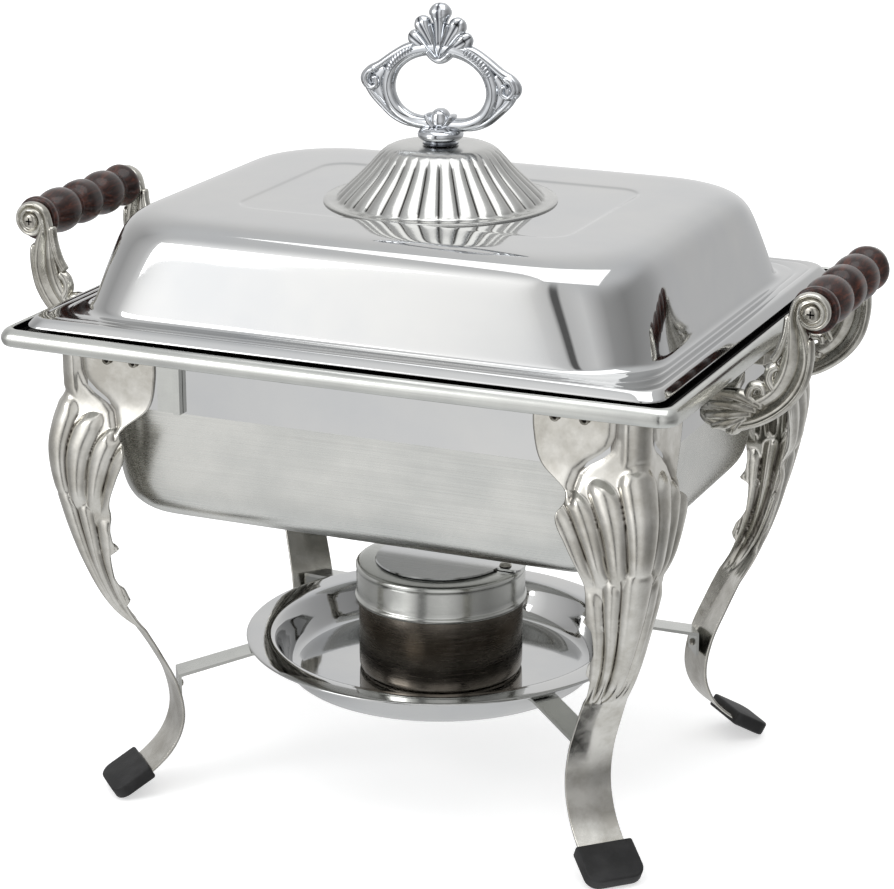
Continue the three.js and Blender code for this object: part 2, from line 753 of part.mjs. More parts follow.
/** The screw that draws the handle, collar and dome down onto the lid, with its washer below. */
function lidScrew() {
  const under = LID_TOP - 1 - GAP;
  const screw = [
    [0, under - 4.6],
    [5, under - 4.2],
    [5.2, under - 1.6],
    [STUD_RADIUS, under - 1.6],
    [STUD_RADIUS, 358.2],
    [0, 358.2],
  ];
  const washer = [
    [STUD_RADIUS + GAP, under - 1.3],
    [9, under - 1.3],
    [9, under],
    [STUD_RADIUS + GAP, under],
    [STUD_RADIUS + GAP, under - 1.3],
  ];
  add("lid_screw", turned(screw, 16), "stamped");
  add("lid_washer", turned(washer, 20), "stamped");
}

// ---------------------------------------------------------------- fuel holder

function fuelHolder() {
  const floor = TRAY_FLOOR + GAP;
  const cup = [
    [0, floor],
    [CUP_RADIUS - 3, floor],
    [CUP_RADIUS, floor + 2.4],
    [CUP_RADIUS, CUP_TOP],
    [CUP_RADIUS - SHEET, CUP_TOP],
    [CUP_RADIUS - SHEET, floor + 3],
    [CUP_RADIUS - 3.6, floor + SHEET],
    [0, floor + SHEET],
  ];
  add("fuel_cup", turned(cup, 32), "cup");
  const cover = [
    [COVER_RADIUS, COVER_BOTTOM],
    [COVER_RADIUS + 0.5, COVER_BOTTOM + 1.6],
    [COVER_RADIUS, COVER_BOTTOM + 3.2],
    [COVER_RADIUS, COVER_TOP - 2],
    [COVER_RADIUS - 2, COVER_TOP],
    [PORT_RADIUS, COVER_TOP],
    [PORT_RADIUS, COVER_TOP - SHEET],
    [COVER_RADIUS - 2.6, COVER_TOP - SHEET],
    [COVER_RADIUS - SHEET, COVER_TOP - 2.6],
    [COVER_RADIUS - SHEET, COVER_BOTTOM],
    [COVER_RADIUS, COVER_BOTTOM],
  ];
  const pivotHole = toSolid(rod(1.8 + GAP, COVER_TOP - 5, COVER_TOP + 5, 12).translate(PIVOT_X, 0, 0));
  add("fuel_cover", toGeometry(toSolid(turned(cover, 32)).subtract(pivotHole)), "polished");
}

/** The disc that swings aside to open the flame port, with the ear it pivots on and its tab. */
function snuffer() {
  const low = COVER_TOP + GAP;
  const disc = toSolid(rod(DISC_RADIUS, low, low + SHEET, 32));
  const ear = toSolid(block([20, -6, low], [42, 6, low + SHEET]));
  const tab = toSolid(block([40, -5, low], [47, 5, low + SHEET]));
  const hole = toSolid(rod(1.8 + GAP, low - 3, low + 4, 12).translate(PIVOT_X, 0, 0));
  add("snuffer_disc", toGeometry(disc.add(ear).add(tab).subtract(hole)), "polished");
  const under = COVER_TOP - SHEET - GAP;
  const over = low + SHEET + GAP;
  const pin = [
    [0, under - 1],
    [3.4, under - 1],
    [3.4, under],
    [1.8, under],
    [1.8, over],
    [3.4, over],
    [2.6, over + 1.2],
    [0, over + 1.4],
  ];
  add("snuffer_pivot", turned(pin, 14).translate(PIVOT_X, 0, 0), "stamped");
}

frameRim();
aprons();
apronStraps();
legsAndFeet();
legRivets();
burnerTray();
braces();
brackets();
grips();
waterPan();
foodPan();
lidCover();
lidDome();
lidCollar();
ringHandle();
lidScrew();
fuelHolder();
snuffer();

export default dish;
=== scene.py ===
"""Half-size chafing dish: the visible pieces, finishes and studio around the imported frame.

Sizes are written in millimetres and turned to metres once, when a shape becomes a piece. The long
front looks along -Y, X runs along it, and the table is at height 0.
"""

from __future__ import annotations

import logging
import math
from dataclasses import dataclass
from enum import Enum
from typing import Iterable, Sequence

import bmesh
import bpy
from mathutils import Matrix, Vector

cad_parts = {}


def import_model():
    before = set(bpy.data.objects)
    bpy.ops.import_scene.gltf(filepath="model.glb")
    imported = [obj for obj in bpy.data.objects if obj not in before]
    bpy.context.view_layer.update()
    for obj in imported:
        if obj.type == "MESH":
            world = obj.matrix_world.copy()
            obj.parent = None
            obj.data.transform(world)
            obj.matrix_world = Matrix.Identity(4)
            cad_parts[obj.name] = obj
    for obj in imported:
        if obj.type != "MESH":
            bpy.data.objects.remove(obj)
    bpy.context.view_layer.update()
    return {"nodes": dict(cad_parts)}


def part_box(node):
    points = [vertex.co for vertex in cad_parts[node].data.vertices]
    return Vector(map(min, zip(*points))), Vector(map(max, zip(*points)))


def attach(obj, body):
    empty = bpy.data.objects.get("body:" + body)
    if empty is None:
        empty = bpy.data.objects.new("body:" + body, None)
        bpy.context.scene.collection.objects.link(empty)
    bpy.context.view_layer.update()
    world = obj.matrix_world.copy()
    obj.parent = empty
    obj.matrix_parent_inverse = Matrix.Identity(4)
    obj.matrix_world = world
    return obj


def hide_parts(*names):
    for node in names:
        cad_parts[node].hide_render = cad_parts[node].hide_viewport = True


LOG = logging.getLogger("chafing_dish")
MM = 0.001
Point = tuple[float, float]
Socket = bpy.types.NodeSocket


class Corner(Enum):
    """The four corners of the stand, with the signs of their X and Y."""

    FRONT_LEFT = (-1, -1)
    FRONT_RIGHT = (1, -1)
    BACK_LEFT = (-1, 1)
    BACK_RIGHT = (1, 1)

    @property
    def tag(self) -> str:
        """The corner's name as the frame's nodes spell it."""
        return self.name.lower()


class Slot(Enum):
    """The material slots."""

    POLISHED = "polished_sheet"
    SATIN = "satin_sheet"
    LEG = "stamped_leg"
    FASTENER = "fastener"
    CASTING = "casting"
    CHROME = "chrome_casting"
    CUP = "cup_sheet"
    WOOD = "turned_wood"
    RUBBER = "rubber_foot"


# ---------------------------------------------------------------- finishes


def linear(code: str) -> tuple[float, float, float, float]:
    """Turns an sRGB hex code to a linear colour.

    Args:
        code: Six hex digits.

    Returns:
        Red, green, blue and an alpha of 1.
    """
    parts = [int(code[index : index + 2], 16) / 255 for index in (0, 2, 4)]
    red, green, blue = (p / 12.92 if p <= 0.04045 else ((p + 0.055) / 1.055) ** 2.4 for p in parts)
    return red, green, blue, 1.0


def per_mm(size: float) -> float:
    """The texture scale at which one feature is this many millimetres wide."""
    return 1 / (size * MM)


def wire(
    tree: bpy.types.NodeTree, kind: str, settings: dict | None = None, **inputs: object
) -> bpy.types.Node:
    """Adds a node with its settings, and sets or links its inputs.

    Args:
        tree: The node tree.
        kind: The node's type name.
        settings: The node's own properties.
        **inputs: A value or an output socket for each input, by name, with _ for a space, or by
            i and its number.

    Returns:
        The new node.
    """
    node = tree.nodes.new(kind)
    for key, value in (settings or {}).items():
        setattr(node, key, value)
    for key, value in inputs.items():
        socket = node.inputs[int(key[1:])] if key[1:].isdigit() else node.inputs[key.replace("_", " ")]
        if isinstance(value, bpy.types.NodeSocket):
            tree.links.new(value, socket)
        else:
            socket.default_value = value
    return node


def ramp(tree: bpy.types.NodeTree, factor: Socket, stops: Sequence[tuple[float, tuple]]) -> Socket:
    """Adds a colour ramp.

    Args:
        tree: The node tree.
        factor: What the ramp reads.
        stops: Each stop's place from 0 to 1 and its colour.

    Returns:
        The colour.
    """
    node = wire(tree, "ShaderNodeValToRGB", Fac=factor)
    elements = node.color_ramp.elements
    while len(elements) < len(stops):
        elements.new(1.0)
    for element, (place, colour) in zip(elements, stops):
        element.position, element.color = place, colour
    return node.outputs["Color"]


def noise(
    tree: bpy.types.NodeTree, where: Socket, size_mm: float | Sequence[float], **inputs: float
) -> Socket:
    """Adds noise.

    Args:
        tree: The node tree.
        where: The coordinates.
        size_mm: How wide one feature is, the same each way or for X, Y and Z.
        **inputs: The noise node's other inputs.

    Returns:
        The noise, from 0 to 1.
    """
    scale = 1.0
    if isinstance(size_mm, Sequence):
        stretch = wire(tree, "ShaderNodeMapping", Vector=where, Scale=tuple(per_mm(size) for size in size_mm))
        where = stretch.outputs["Vector"]
    else:
        scale = per_mm(size_mm)
    return wire(tree, "ShaderNodeTexNoise", Vector=where, Scale=scale, **inputs).outputs["Fac"]


def new_material(name: str) -> tuple[bpy.types.Material, bpy.types.NodeTree, Socket]:
    """An empty node material, its tree and the object's own coordinates in it."""
    material = bpy.data.materials.new(name)
    material.use_nodes = True
    tree = material.node_tree
    tree.nodes.clear()
    return material, tree, wire(tree, "ShaderNodeTexCoord").outputs["Object"]


def surface(
    tree: bpy.types.NodeTree, height: Socket, strength: float, depth_mm: float, **inputs: object
) -> None:
    """Ends a material with a principled surface.

    Args:
        tree: The material's tree.
        height: The relief that the surface's bump reads.
        strength: How strong the bump is.
        depth_mm: How deep the bump is.
        **inputs: The surface's other inputs.
    """
    bump = wire(tree, "ShaderNodeBump", Height=height, Strength=strength, Distance=depth_mm * MM)
    shader = wire(tree, "ShaderNodeBsdfPrincipled", Normal=bump.outputs["Normal"], **inputs)
    wire(tree, "ShaderNodeOutputMaterial", Surface=shader.outputs["BSDF"])


@dataclass(frozen=True)
class Metal:
    """A metal surface: a tint that drifts, a grain, and painted shade: a darker colour in its hollows."""

    name: str
    bright: str
    dull: str
    roughness: float
    spread: float
    drift_mm: float
    grain_mm: tuple[float, float, float]
    grain_depth_mm: float
    # The colour of the shade painted where the relief is low, and the relief level where that shade ends.
    hollow: str | None = None
    hollow_end: float = 0.35

    def build(self) -> bpy.types.Material:
        """Builds the material from noise in object space.

        Returns:
            The material.
        """
        material, tree, where = new_material(self.name)
        drift = noise(tree, where, self.drift_mm, Detail=4.0, Roughness=0.6)
        colour = ramp(tree, drift, [(0.36, linear(self.dull)), (0.62, linear(self.bright))])
        # Painted shade: where the relief layer is low, the colour turns towards the hollow colour.
        if self.hollow:
            relief = wire(tree, "ShaderNodeAttribute", {"attribute_name": "relief"})
            depth = wire(
                tree, "ShaderNodeMapRange", {"interpolation_type": "SMOOTHSTEP"},
                Value=relief.outputs["Fac"], From_Min=0.0, From_Max=self.hollow_end, To_Min=1.0, To_Max=0.0,
            )
            hollow_shade = wire(
                tree, "ShaderNodeMix", {"data_type": "RGBA"},
                i0=depth.outputs["Result"], i6=colour, i7=linear(self.hollow),
            )
            colour = hollow_shade.outputs[2]
        grain = noise(tree, where, self.grain_mm, Detail=3.0, Roughness=0.55)
        gloss = wire(
            tree, "ShaderNodeMapRange", Value=grain, From_Min=0.3, From_Max=0.7,
            To_Min=self.roughness - self.spread, To_Max=self.roughness + self.spread,
        )
        surface(
            tree, grain, 0.35, self.grain_depth_mm, Base_Color=colour, Metallic=1.0,
            Roughness=gloss.outputs["Result"],
        )
        return material


@dataclass(frozen=True)
class LacqueredWood:
    """Turned hardwood, stained dark red-brown, under a clear gloss coat."""

    name: str = "lacquered_turned_beech"
    dark: str = "140705"
    mid: str = "30150e"
    light: str = "4f271a"
    streak_mm: tuple[float, float, float] = (2.6, 26.0, 2.6)
    pore_mm: tuple[float, float, float] = (0.5, 6.0, 0.5)

    def build(self) -> bpy.types.Material:
        """Builds the material with streaks along the grip's length.

        Returns:
            The material.
        """
        material, tree, where = new_material(self.name)
        streak = noise(tree, where, self.streak_mm, Detail=5.0, Roughness=0.62, Distortion=0.7)
        stops = [(0.34, linear(self.dark)), (0.52, linear(self.mid)), (0.68, linear(self.light))]
        pores = noise(tree, where, self.pore_mm, Detail=2.0)
        surface(
            tree, pores, 0.12, 0.1, Base_Color=ramp(tree, streak, stops), Roughness=0.34, IOR=1.38,
            Coat_Weight=0.35, Coat_Roughness=0.06,
        )
        return material


@dataclass(frozen=True)
class MouldedRubber:
    """Black rubber with the fine bloom and pitting that a moulded cap has."""

    name: str = "moulded_black_rubber"
    dark: str = "101011"
    light: str = "262627"
    pit_mm: float = 1.2

    def build(self) -> bpy.types.Material:
        """Builds the matte material.

        Returns:
            The material.
        """
        material, tree, where = new_material(self.name)
        bloom = noise(tree, where, 14.0, Detail=4.0)
        tint = ramp(tree, bloom, [(0.4, linear(self.dark)), (0.66, linear(self.light))])
        pits = noise(tree, where, self.pit_mm, Detail=2.0)
        surface(tree, pits, 0.4, 0.3, Base_Color=tint, Roughness=0.58, IOR=1.5)
        return material


class Finishes:
    """Every finish on the dish, built once."""

    def __init__(self) -> None:
        """Builds the materials."""
        # Buffed 304 stainless sheet: a clean mirror, with the faintest polishing haze.
        self.mirror = Metal(
            "mirror_buffed_stainless", "c6c6c5", "bfc0c1", 0.055, 0.02, 90.0, (60.0, 3.0, 3.0), 0.004
        ).build()
        # Stainless sheet brushed along the long side: soft level streaks that blur what it mirrors.
        self.brushed = Metal(
            "brushed_stainless", "dadad6", "cbccc9", 0.27, 0.05, 60.0, (70.0, 0.9, 0.9), 0.02
        ).build()
        # The rim's rolled edge: a brighter satin than the pans.
        self.satin = Metal(
            "satin_rolled_stainless", "cccdc9", "bebfbc", 0.2, 0.05, 50.0, (60.0, 1.2, 1.2), 0.012
        ).build()
        # Pressed steel sheet, tumbled bright: warm grey, with dark brown shade painted in the hollows.
        self.stamped = Metal(
            "tumbled_pressed_steel", "dbd9d3", "bfbcb4", 0.21, 0.06, 16.0, (5.0, 5.0, 5.0), 0.05,
            hollow="4a443c", hollow_end=0.6,
        ).build()
        # Nickel-plated zinc casting: darker and warmer than chrome, with black shade painted in its recesses.
        self.nickel = Metal(
            "nickel_plated_zinc_casting", "cccac3", "a3a098", 0.18, 0.05, 12.0, (3.0, 3.0, 3.0), 0.05,
            hollow="2a2724", hollow_end=0.6,
        ).build()
        # Bright chrome plate on a zinc casting: cold, hard reflections, with dark shade painted in its
        # recesses.
        self.chrome = Metal(
            "bright_chrome_plate", "d0d2d5", "bfc2c6", 0.05, 0.02, 12.0, (4.0, 4.0, 4.0), 0.02,
            hollow="3d4046", hollow_end=0.6,
        ).build()
        # The fluted dome: mirror sheet with a line of painted shade at the foot of every flute.
        self.fluted = Metal(
            "mirror_fluted_stainless", "c6c6c3", "babab8", 0.2, 0.02, 30.0, (6.0, 6.0, 6.0), 0.01,
            hollow="2d2b28", hollow_end=0.5,
        ).build()
        # Brushed steel cup, browned a little by heat: fine level scratches round it.
        self.cup = Metal(
            "heat_dulled_brushed_steel", "8f887f", "6f685f", 0.24, 0.06, 24.0, (14.0, 14.0, 0.7), 0.02
        ).build()
        # Small headed parts of plain bright steel.
        self.fastener = Metal(
            "bright_steel_fastener", "b5b2aa", "8f8b83", 0.2, 0.05, 4.0, (1.5, 1.5, 1.5), 0.02
        ).build()
        # Painted shade: near-black steel for the gap between rim and pan and for small recesses, where no
        # light reaches.
        self.channel = Metal(
            "painted_shade_steel", "1c1b1a", "121111", 0.45, 0.06, 20.0, (8.0, 8.0, 2.0), 0.03
        ).build()
        self.wood = LacqueredWood().build()
        self.rubber = MouldedRubber().build()


# ---------------------------------------------------------------- shaping


def spun(profile: Sequence[Point], steps: int, closed: bool = False) -> bmesh.types.BMesh:
    """Spins a profile of [radius, height] points once about Z.

    Each vertex keeps its profile point's number in the layer "ring".

    Args:
        profile: The profile's points.
        steps: How many steps the turn has.
        closed: Whether the last point joins the first.

    Returns:
        The turned mesh, in millimetres.
    """
    bm = bmesh.new()
    ring = bm.verts.layers.int.new("ring")
    verts = []
    for number, (radius, height) in enumerate(profile):
        vert = bm.verts.new((radius, 0, height))
        vert[ring] = number
        verts.append(vert)
    pairs = list(zip(verts, verts[1:]))
    if closed:
        pairs.append((verts[-1], verts[0]))
    edges = [bm.edges.new(pair) for pair in pairs]
    bmesh.ops.spin(
        bm, geom=verts + edges, cent=(0, 0, 0), axis=(0, 0, 1), angle=2 * math.pi, steps=steps,
        use_merge=True, use_duplicate=False,
    )
    bmesh.ops.remove_doubles(bm, verts=bm.verts, dist=1e-4)
    bmesh.ops.recalc_face_normals(bm, faces=bm.faces)
    return bm


@dataclass(frozen=True)
class Level:
    """One level of a squared-up shell: half sizes, height, corner radius and long-side bow."""

    half_length: float
    half_width: float
    height: float
    corner: float
    bow: float = 0.0


@dataclass(frozen=True)
class Squarer:
    """Turns round rings into rounded rectangles."""

    short_steps: int = 3
    corner_steps: int = 6
    long_steps: int = 4

    @property
    def quarter(self) -> int:
        """The steps in a quarter of a ring."""
        return self.short_steps + self.corner_steps + self.long_steps

    def first_quarter(self, step: float, level: Level) -> Point:
        """A point on the quarter with positive X and Y, from the end of X round to Y."""
        length, width, corner = level.half_length, level.half_width, level.corner
        if step <= self.short_steps:
            return length, (width - corner) * step / self.short_steps
        if step <= self.short_steps + self.corner_steps:
            turn = math.pi / 2 * (step - self.short_steps) / self.corner_steps
            return length - corner + corner * math.cos(turn), width - corner + corner * math.sin(turn)
        share = (step - self.short_steps - self.corner_steps) / self.long_steps
        return (length - corner) * (1 - share), width

    def place(self, step: int, level: Level) -> Vector:
        """A point on the whole ring.

        Args:
            step: The ring's step, counted from +X towards +Y.
            level: The level's sizes.

        Returns:
            The point.
        """
        quarter, rest = divmod(step % (4 * self.quarter), self.quarter)
        x, y = self.first_quarter(self.quarter - rest if quarter % 2 else rest, level)
        side_x = -1 if quarter in (1, 2) else 1
        side_y = -1 if quarter in (2, 3) else 1
        bowed = y + level.bow * max(1 - (x / level.half_length) ** 2, 0)
        return Vector((side_x * x, side_y * bowed, level.height))

    def shell(self, levels: Sequence[Level], closed: bool = False) -> bmesh.types.BMesh:
        """Spins the levels' profile and squares up each ring.

        Args:
            levels: The levels in order. One of no length is a pole.
            closed: Whether the last level joins the first.

        Returns:
            The squared shell, in millimetres.
        """
        steps = 4 * self.quarter
        bm = spun([(level.half_length, level.height) for level in levels], steps, closed)
        ring = bm.verts.layers.int["ring"]
        for vert in bm.verts:
            level = levels[vert[ring]]
            if level.half_length == 0:
                continue
            turn = math.atan2(vert.co.y, vert.co.x) % (2 * math.pi)
            vert.co = self.place(round(turn / (2 * math.pi) * steps), level)
        return bm


def smooth_path(points: Sequence[Sequence[float]], share: float) -> tuple[float, ...]:
    """A point on the smooth curve through the given points.

    Args:
        points: Points with any number of parts.
        share: The place along the curve, from 0 to 1, with the points evenly spread.

    Returns:
        The point's parts.
    """
    last = len(points) - 1
    place = min(max(share, 0.0), 1.0) * last
    index = min(int(place), last - 1)
    t = place - index
    before, start, end, after = (points[min(max(index + step, 0), last)] for step in (-1, 0, 1, 2))
    return tuple(
        0.5 * (2 * b + (c - a) * t + (2 * a - 5 * b + 4 * c - d) * t * t + (3 * b - a - 3 * c + d) * t**3)
        for a, b, c, d in zip(before, start, end, after)
    )


def round_edges(bm: bmesh.types.BMesh, edges: Sequence, offset: float, segments: int) -> dict:
    """Bevels edges to a round and returns what the operator made."""
    return bmesh.ops.bevel(
        bm, geom=edges, offset=offset, offset_type="OFFSET", segments=segments, profile=0.5, affect="EDGES",
        material=-1,
    )


def turned(bm: bmesh.types.BMesh, axis: str, degrees: float, offset: Sequence[float] = (0, 0, 0)) -> None:
    """Turns a mesh about an axis through the origin, and then moves it."""
    matrix = Matrix.Rotation(math.radians(degrees), 3, axis)
    bmesh.ops.rotate(bm, cent=(0, 0, 0), matrix=matrix, verts=bm.verts)
    bmesh.ops.translate(bm, vec=offset, verts=bm.verts)


def paint_rings(bm: bmesh.types.BMesh, first: int) -> None:
    """Gives a spun shell's faces the second material, from a ring on."""
    ring = bm.verts.layers.int["ring"]
    for face in bm.faces:
        face.material_index = int(min(vert[ring] for vert in face.verts) >= first)


def paint_core(bm: bmesh.types.BMesh, radius: float, low: float, high: float) -> None:
    """Gives the second material to the faces near Z, between two heights."""
    for face in bm.faces:
        middle = face.calc_center_median()
        face.material_index = int(math.hypot(middle.x, middle.y) < radius and low < middle.z < high)


@dataclass(frozen=True)
class Bar:
    """A cast bar that follows a path in an upright plane, with its width and depth along it."""

    path: Sequence[Point]
    widths: Sequence[float]
    depths: Sequence[float]
    rows: int = 48
    columns: int = 20
    loop: bool = False
    squareness: float = 1.0
    blunt: float = 0.09
    groove: float = 0.0
    beads: float = 0.0
    bead_count: int = 0

    def section(self, turn: float, share: float) -> tuple[float, float, float]:
        """The section's half width and half depth at a turn, and how high the relief stands."""
        end = 1.0 if self.loop else min(share, 1 - share) / self.blunt
        rounding = math.sqrt(max(1 - (1 - min(end, 1.0)) ** 2, 0.0))
        (width,) = smooth_path([(w,) for w in self.widths], share)
        (depth,) = smooth_path([(d,) for d in self.depths], share)
        across = math.copysign(abs(math.cos(turn)) ** self.squareness, math.cos(turn))
        face = math.copysign(abs(math.sin(turn)) ** self.squareness, math.sin(turn))
        hollow = math.exp(-((across / 0.28) ** 2)) * self.groove
        bead = 0.5 - 0.5 * math.cos(2 * math.pi * share * self.bead_count)
        lift = face * (depth - math.copysign(1, depth) * (hollow + self.beads * (1 - bead)))
        # The height falls in the groove and between beads, where the finish paints shade.
        height = 1.0
        if self.groove:
            height = min(height, 1 - math.exp(-((across / 0.3) ** 2)))
        if self.bead_count:
            height = min(height, 0.25 + 0.75 * bead)
        return across * width * rounding, lift * rounding, height

    def add_to(self, bm: bmesh.types.BMesh, y: float = 0.0) -> None:
        """Adds the bar to a mesh.

        Args:
            bm: The mesh, with a "relief" layer.
            y: The middle plane of the bar.
        """
        relief = bm.verts.layers.float["relief"]
        path = [tuple(point) for point in self.path]
        made = bmesh.ops.create_grid(bm, x_segments=self.columns, y_segments=self.rows, size=0.5)["verts"]
        for vert in made:
            share = vert.co.y + 0.5
            turn = 2 * math.pi * (vert.co.x + 0.5)
            x, z = smooth_path(path, share)
            ahead, behind = smooth_path(path, share + 0.004), smooth_path(path, share - 0.004)
            along = Vector((ahead[0] - behind[0], ahead[1] - behind[1]))
            along.normalize()
            across, lift, height = self.section(turn, share)
            vert.co = Vector((x + along.y * across, y + lift, z - along.x * across))
            vert[relief] = height
        bmesh.ops.remove_doubles(bm, verts=[v for v in made if v.is_valid], dist=2e-3)


def relief_mesh() -> bmesh.types.BMesh:
    """An empty mesh whose vertices can say how high they stand in a relief, from 0 to 1; the finish paints
    shade where it is low.
    """
    bm = bmesh.new()
    bm.verts.layers.float.new("relief")
    return bm


def mirrored(bm: bmesh.types.BMesh, corner: Corner, rise: float = 0.0) -> bmesh.types.BMesh:
    """A copy of a front right piece, mirrored into another corner.

    Args:
        bm: The piece at the front right corner.
        corner: The corner it goes to.
        rise: How much higher it stands there, in millimetres.

    Returns:
        The copy.
    """
    copy = bm.copy()
    side_x, side_y = corner.value
    bmesh.ops.scale(copy, vec=(side_x, -side_y, 1), verts=copy.verts)
    bmesh.ops.translate(copy, vec=(0, 0, rise), verts=copy.verts)
    if side_x * -side_y < 0:
        bmesh.ops.reverse_faces(copy, faces=copy.faces)
    return copy


def outwards(bm: bmesh.types.BMesh, centre: Vector) -> None:
    """Turns an open shell's faces away from a point inside it.

    Args:
        bm: The shell, with its faces agreeing with each other.
        centre: The point.
    """
    total = sum(face.normal.dot(face.calc_center_median() - centre) * face.calc_area() for face in bm.faces)
    if total < 0:
        bmesh.ops.reverse_faces(bm, faces=bm.faces)


@dataclass(frozen=True)
class Look:
    """How a piece is finished: its material, body and modifiers, and a slot that nothing reads."""

    material: bpy.types.Material
    slot: Slot
    body: str
    smooth_deg: float = 40.0
    levels: int = 0
    wall_mm: float = 0.0
    second: bpy.types.Material | None = None


def make_piece(bm: bmesh.types.BMesh, name: str, look: Look, *nodes: str) -> bpy.types.Object:
    """Turns a mesh in millimetres into a piece that rides on the frame.

    Args:
        bm: The mesh, which is freed.
        name: The piece's name.
        look: Its finish.
        *nodes: The frame's nodes that the piece stands for.

    Returns:
        The piece.
    """
    bmesh.ops.scale(bm, vec=(MM, MM, MM), verts=bm.verts)
    mesh = bpy.data.meshes.new(name)
    bm.to_mesh(mesh)
    bm.free()
    mesh.shade_smooth()
    if look.smooth_deg < 180:
        mesh.set_sharp_from_angle(angle=math.radians(look.smooth_deg))
    mesh.materials.append(look.material)
    if look.second:
        mesh.materials.append(look.second)
    piece = bpy.data.objects.new(name, mesh)
    bpy.context.scene.collection.objects.link(piece)
    if look.levels:
        smooth = piece.modifiers.new("smooth", "SUBSURF")
        smooth.levels = smooth.render_levels = look.levels
    if look.wall_mm:
        wall = piece.modifiers.new("wall", "SOLIDIFY")
        wall.thickness = look.wall_mm * MM
        wall.offset = -1
    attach(piece, look.body)
    if nodes:
        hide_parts(*nodes)
    LOG.info("%s: %d faces, on %s", name, len(mesh.polygons), look.body)
    return piece


def dress_node(frame: dict, node: str, material: bpy.types.Material) -> None:
    """Gives a node of the frame a finish and keeps its shape.

    Args:
        frame: The loaded frame.
        node: The node's name.
        material: The finish.
    """
    slots = frame["nodes"][node].data.materials
    slots.clear()
    slots.append(material)
    LOG.info("%s: kept from the frame", node)


# ---------------------------------------------------------------- stand


@dataclass(frozen=True)
class FrameRim:
    """The shelf that carries the pans, with an outer fascia that curls over at its top."""

    half_length: float = 175.7
    half_width: float = 142.5
    top: float = 261.2
    bottom: float = 252.2
    shelf_top: float = 256.0
    shelf_inner: float = 152.4
    bow: float = 2.5

    def level(self, out: float, height: float, corner: float) -> Level:
        """A level this far out from the rim's top edge."""
        return Level(self.half_length + out, self.half_width + out, height, corner, self.bow)

    def build(self, finish: Finishes) -> None:
        """Builds the rim as one closed sheet.

        Args:
            finish: The finishes.
        """
        inner = self.shelf_inner - self.half_length
        levels = [
            self.level(inner, self.shelf_top - 1.5, 24),
            self.level(0.0, self.shelf_top - 1.5, 10),
            self.level(2.0, self.shelf_top - 1.7, 9.5),
            self.level(2.1, self.bottom + 0.5, 9),
            self.level(2.7, self.bottom, 9),
            self.level(3.7, self.bottom + 0.4, 9),
            self.level(4.3, self.bottom + 1.8, 9),
            self.level(4.7, self.top - 5.0, 9),
            self.level(4.1, self.top - 3.0, 8.6),
            self.level(2.7, self.top - 1.0, 8),
            self.level(0.9, self.top, 7.4),
            self.level(-0.5, self.top - 0.2, 7),
            self.level(-0.9, self.top - 1.0, 7),
            self.level(0.4, self.top - 2.2, 7.4),
            self.level(1.0, 258.0, 8),
            self.level(1.0, self.shelf_top + 0.1, 8),
            self.level(0.3, self.shelf_top, 8),
            self.level(inner, self.shelf_top, 24),
        ]
        bm = Squarer().shell(levels, closed=True)
        # Painted shade: the inner lip and the shelf, from ring 12 on, take the near-black second material.
        paint_rings(bm, 12)
        look = Look(finish.satin, Slot.SATIN, "stand", 180, 2, second=finish.channel)
        make_piece(bm, "rolled_frame_rim", look, "frame_rim")


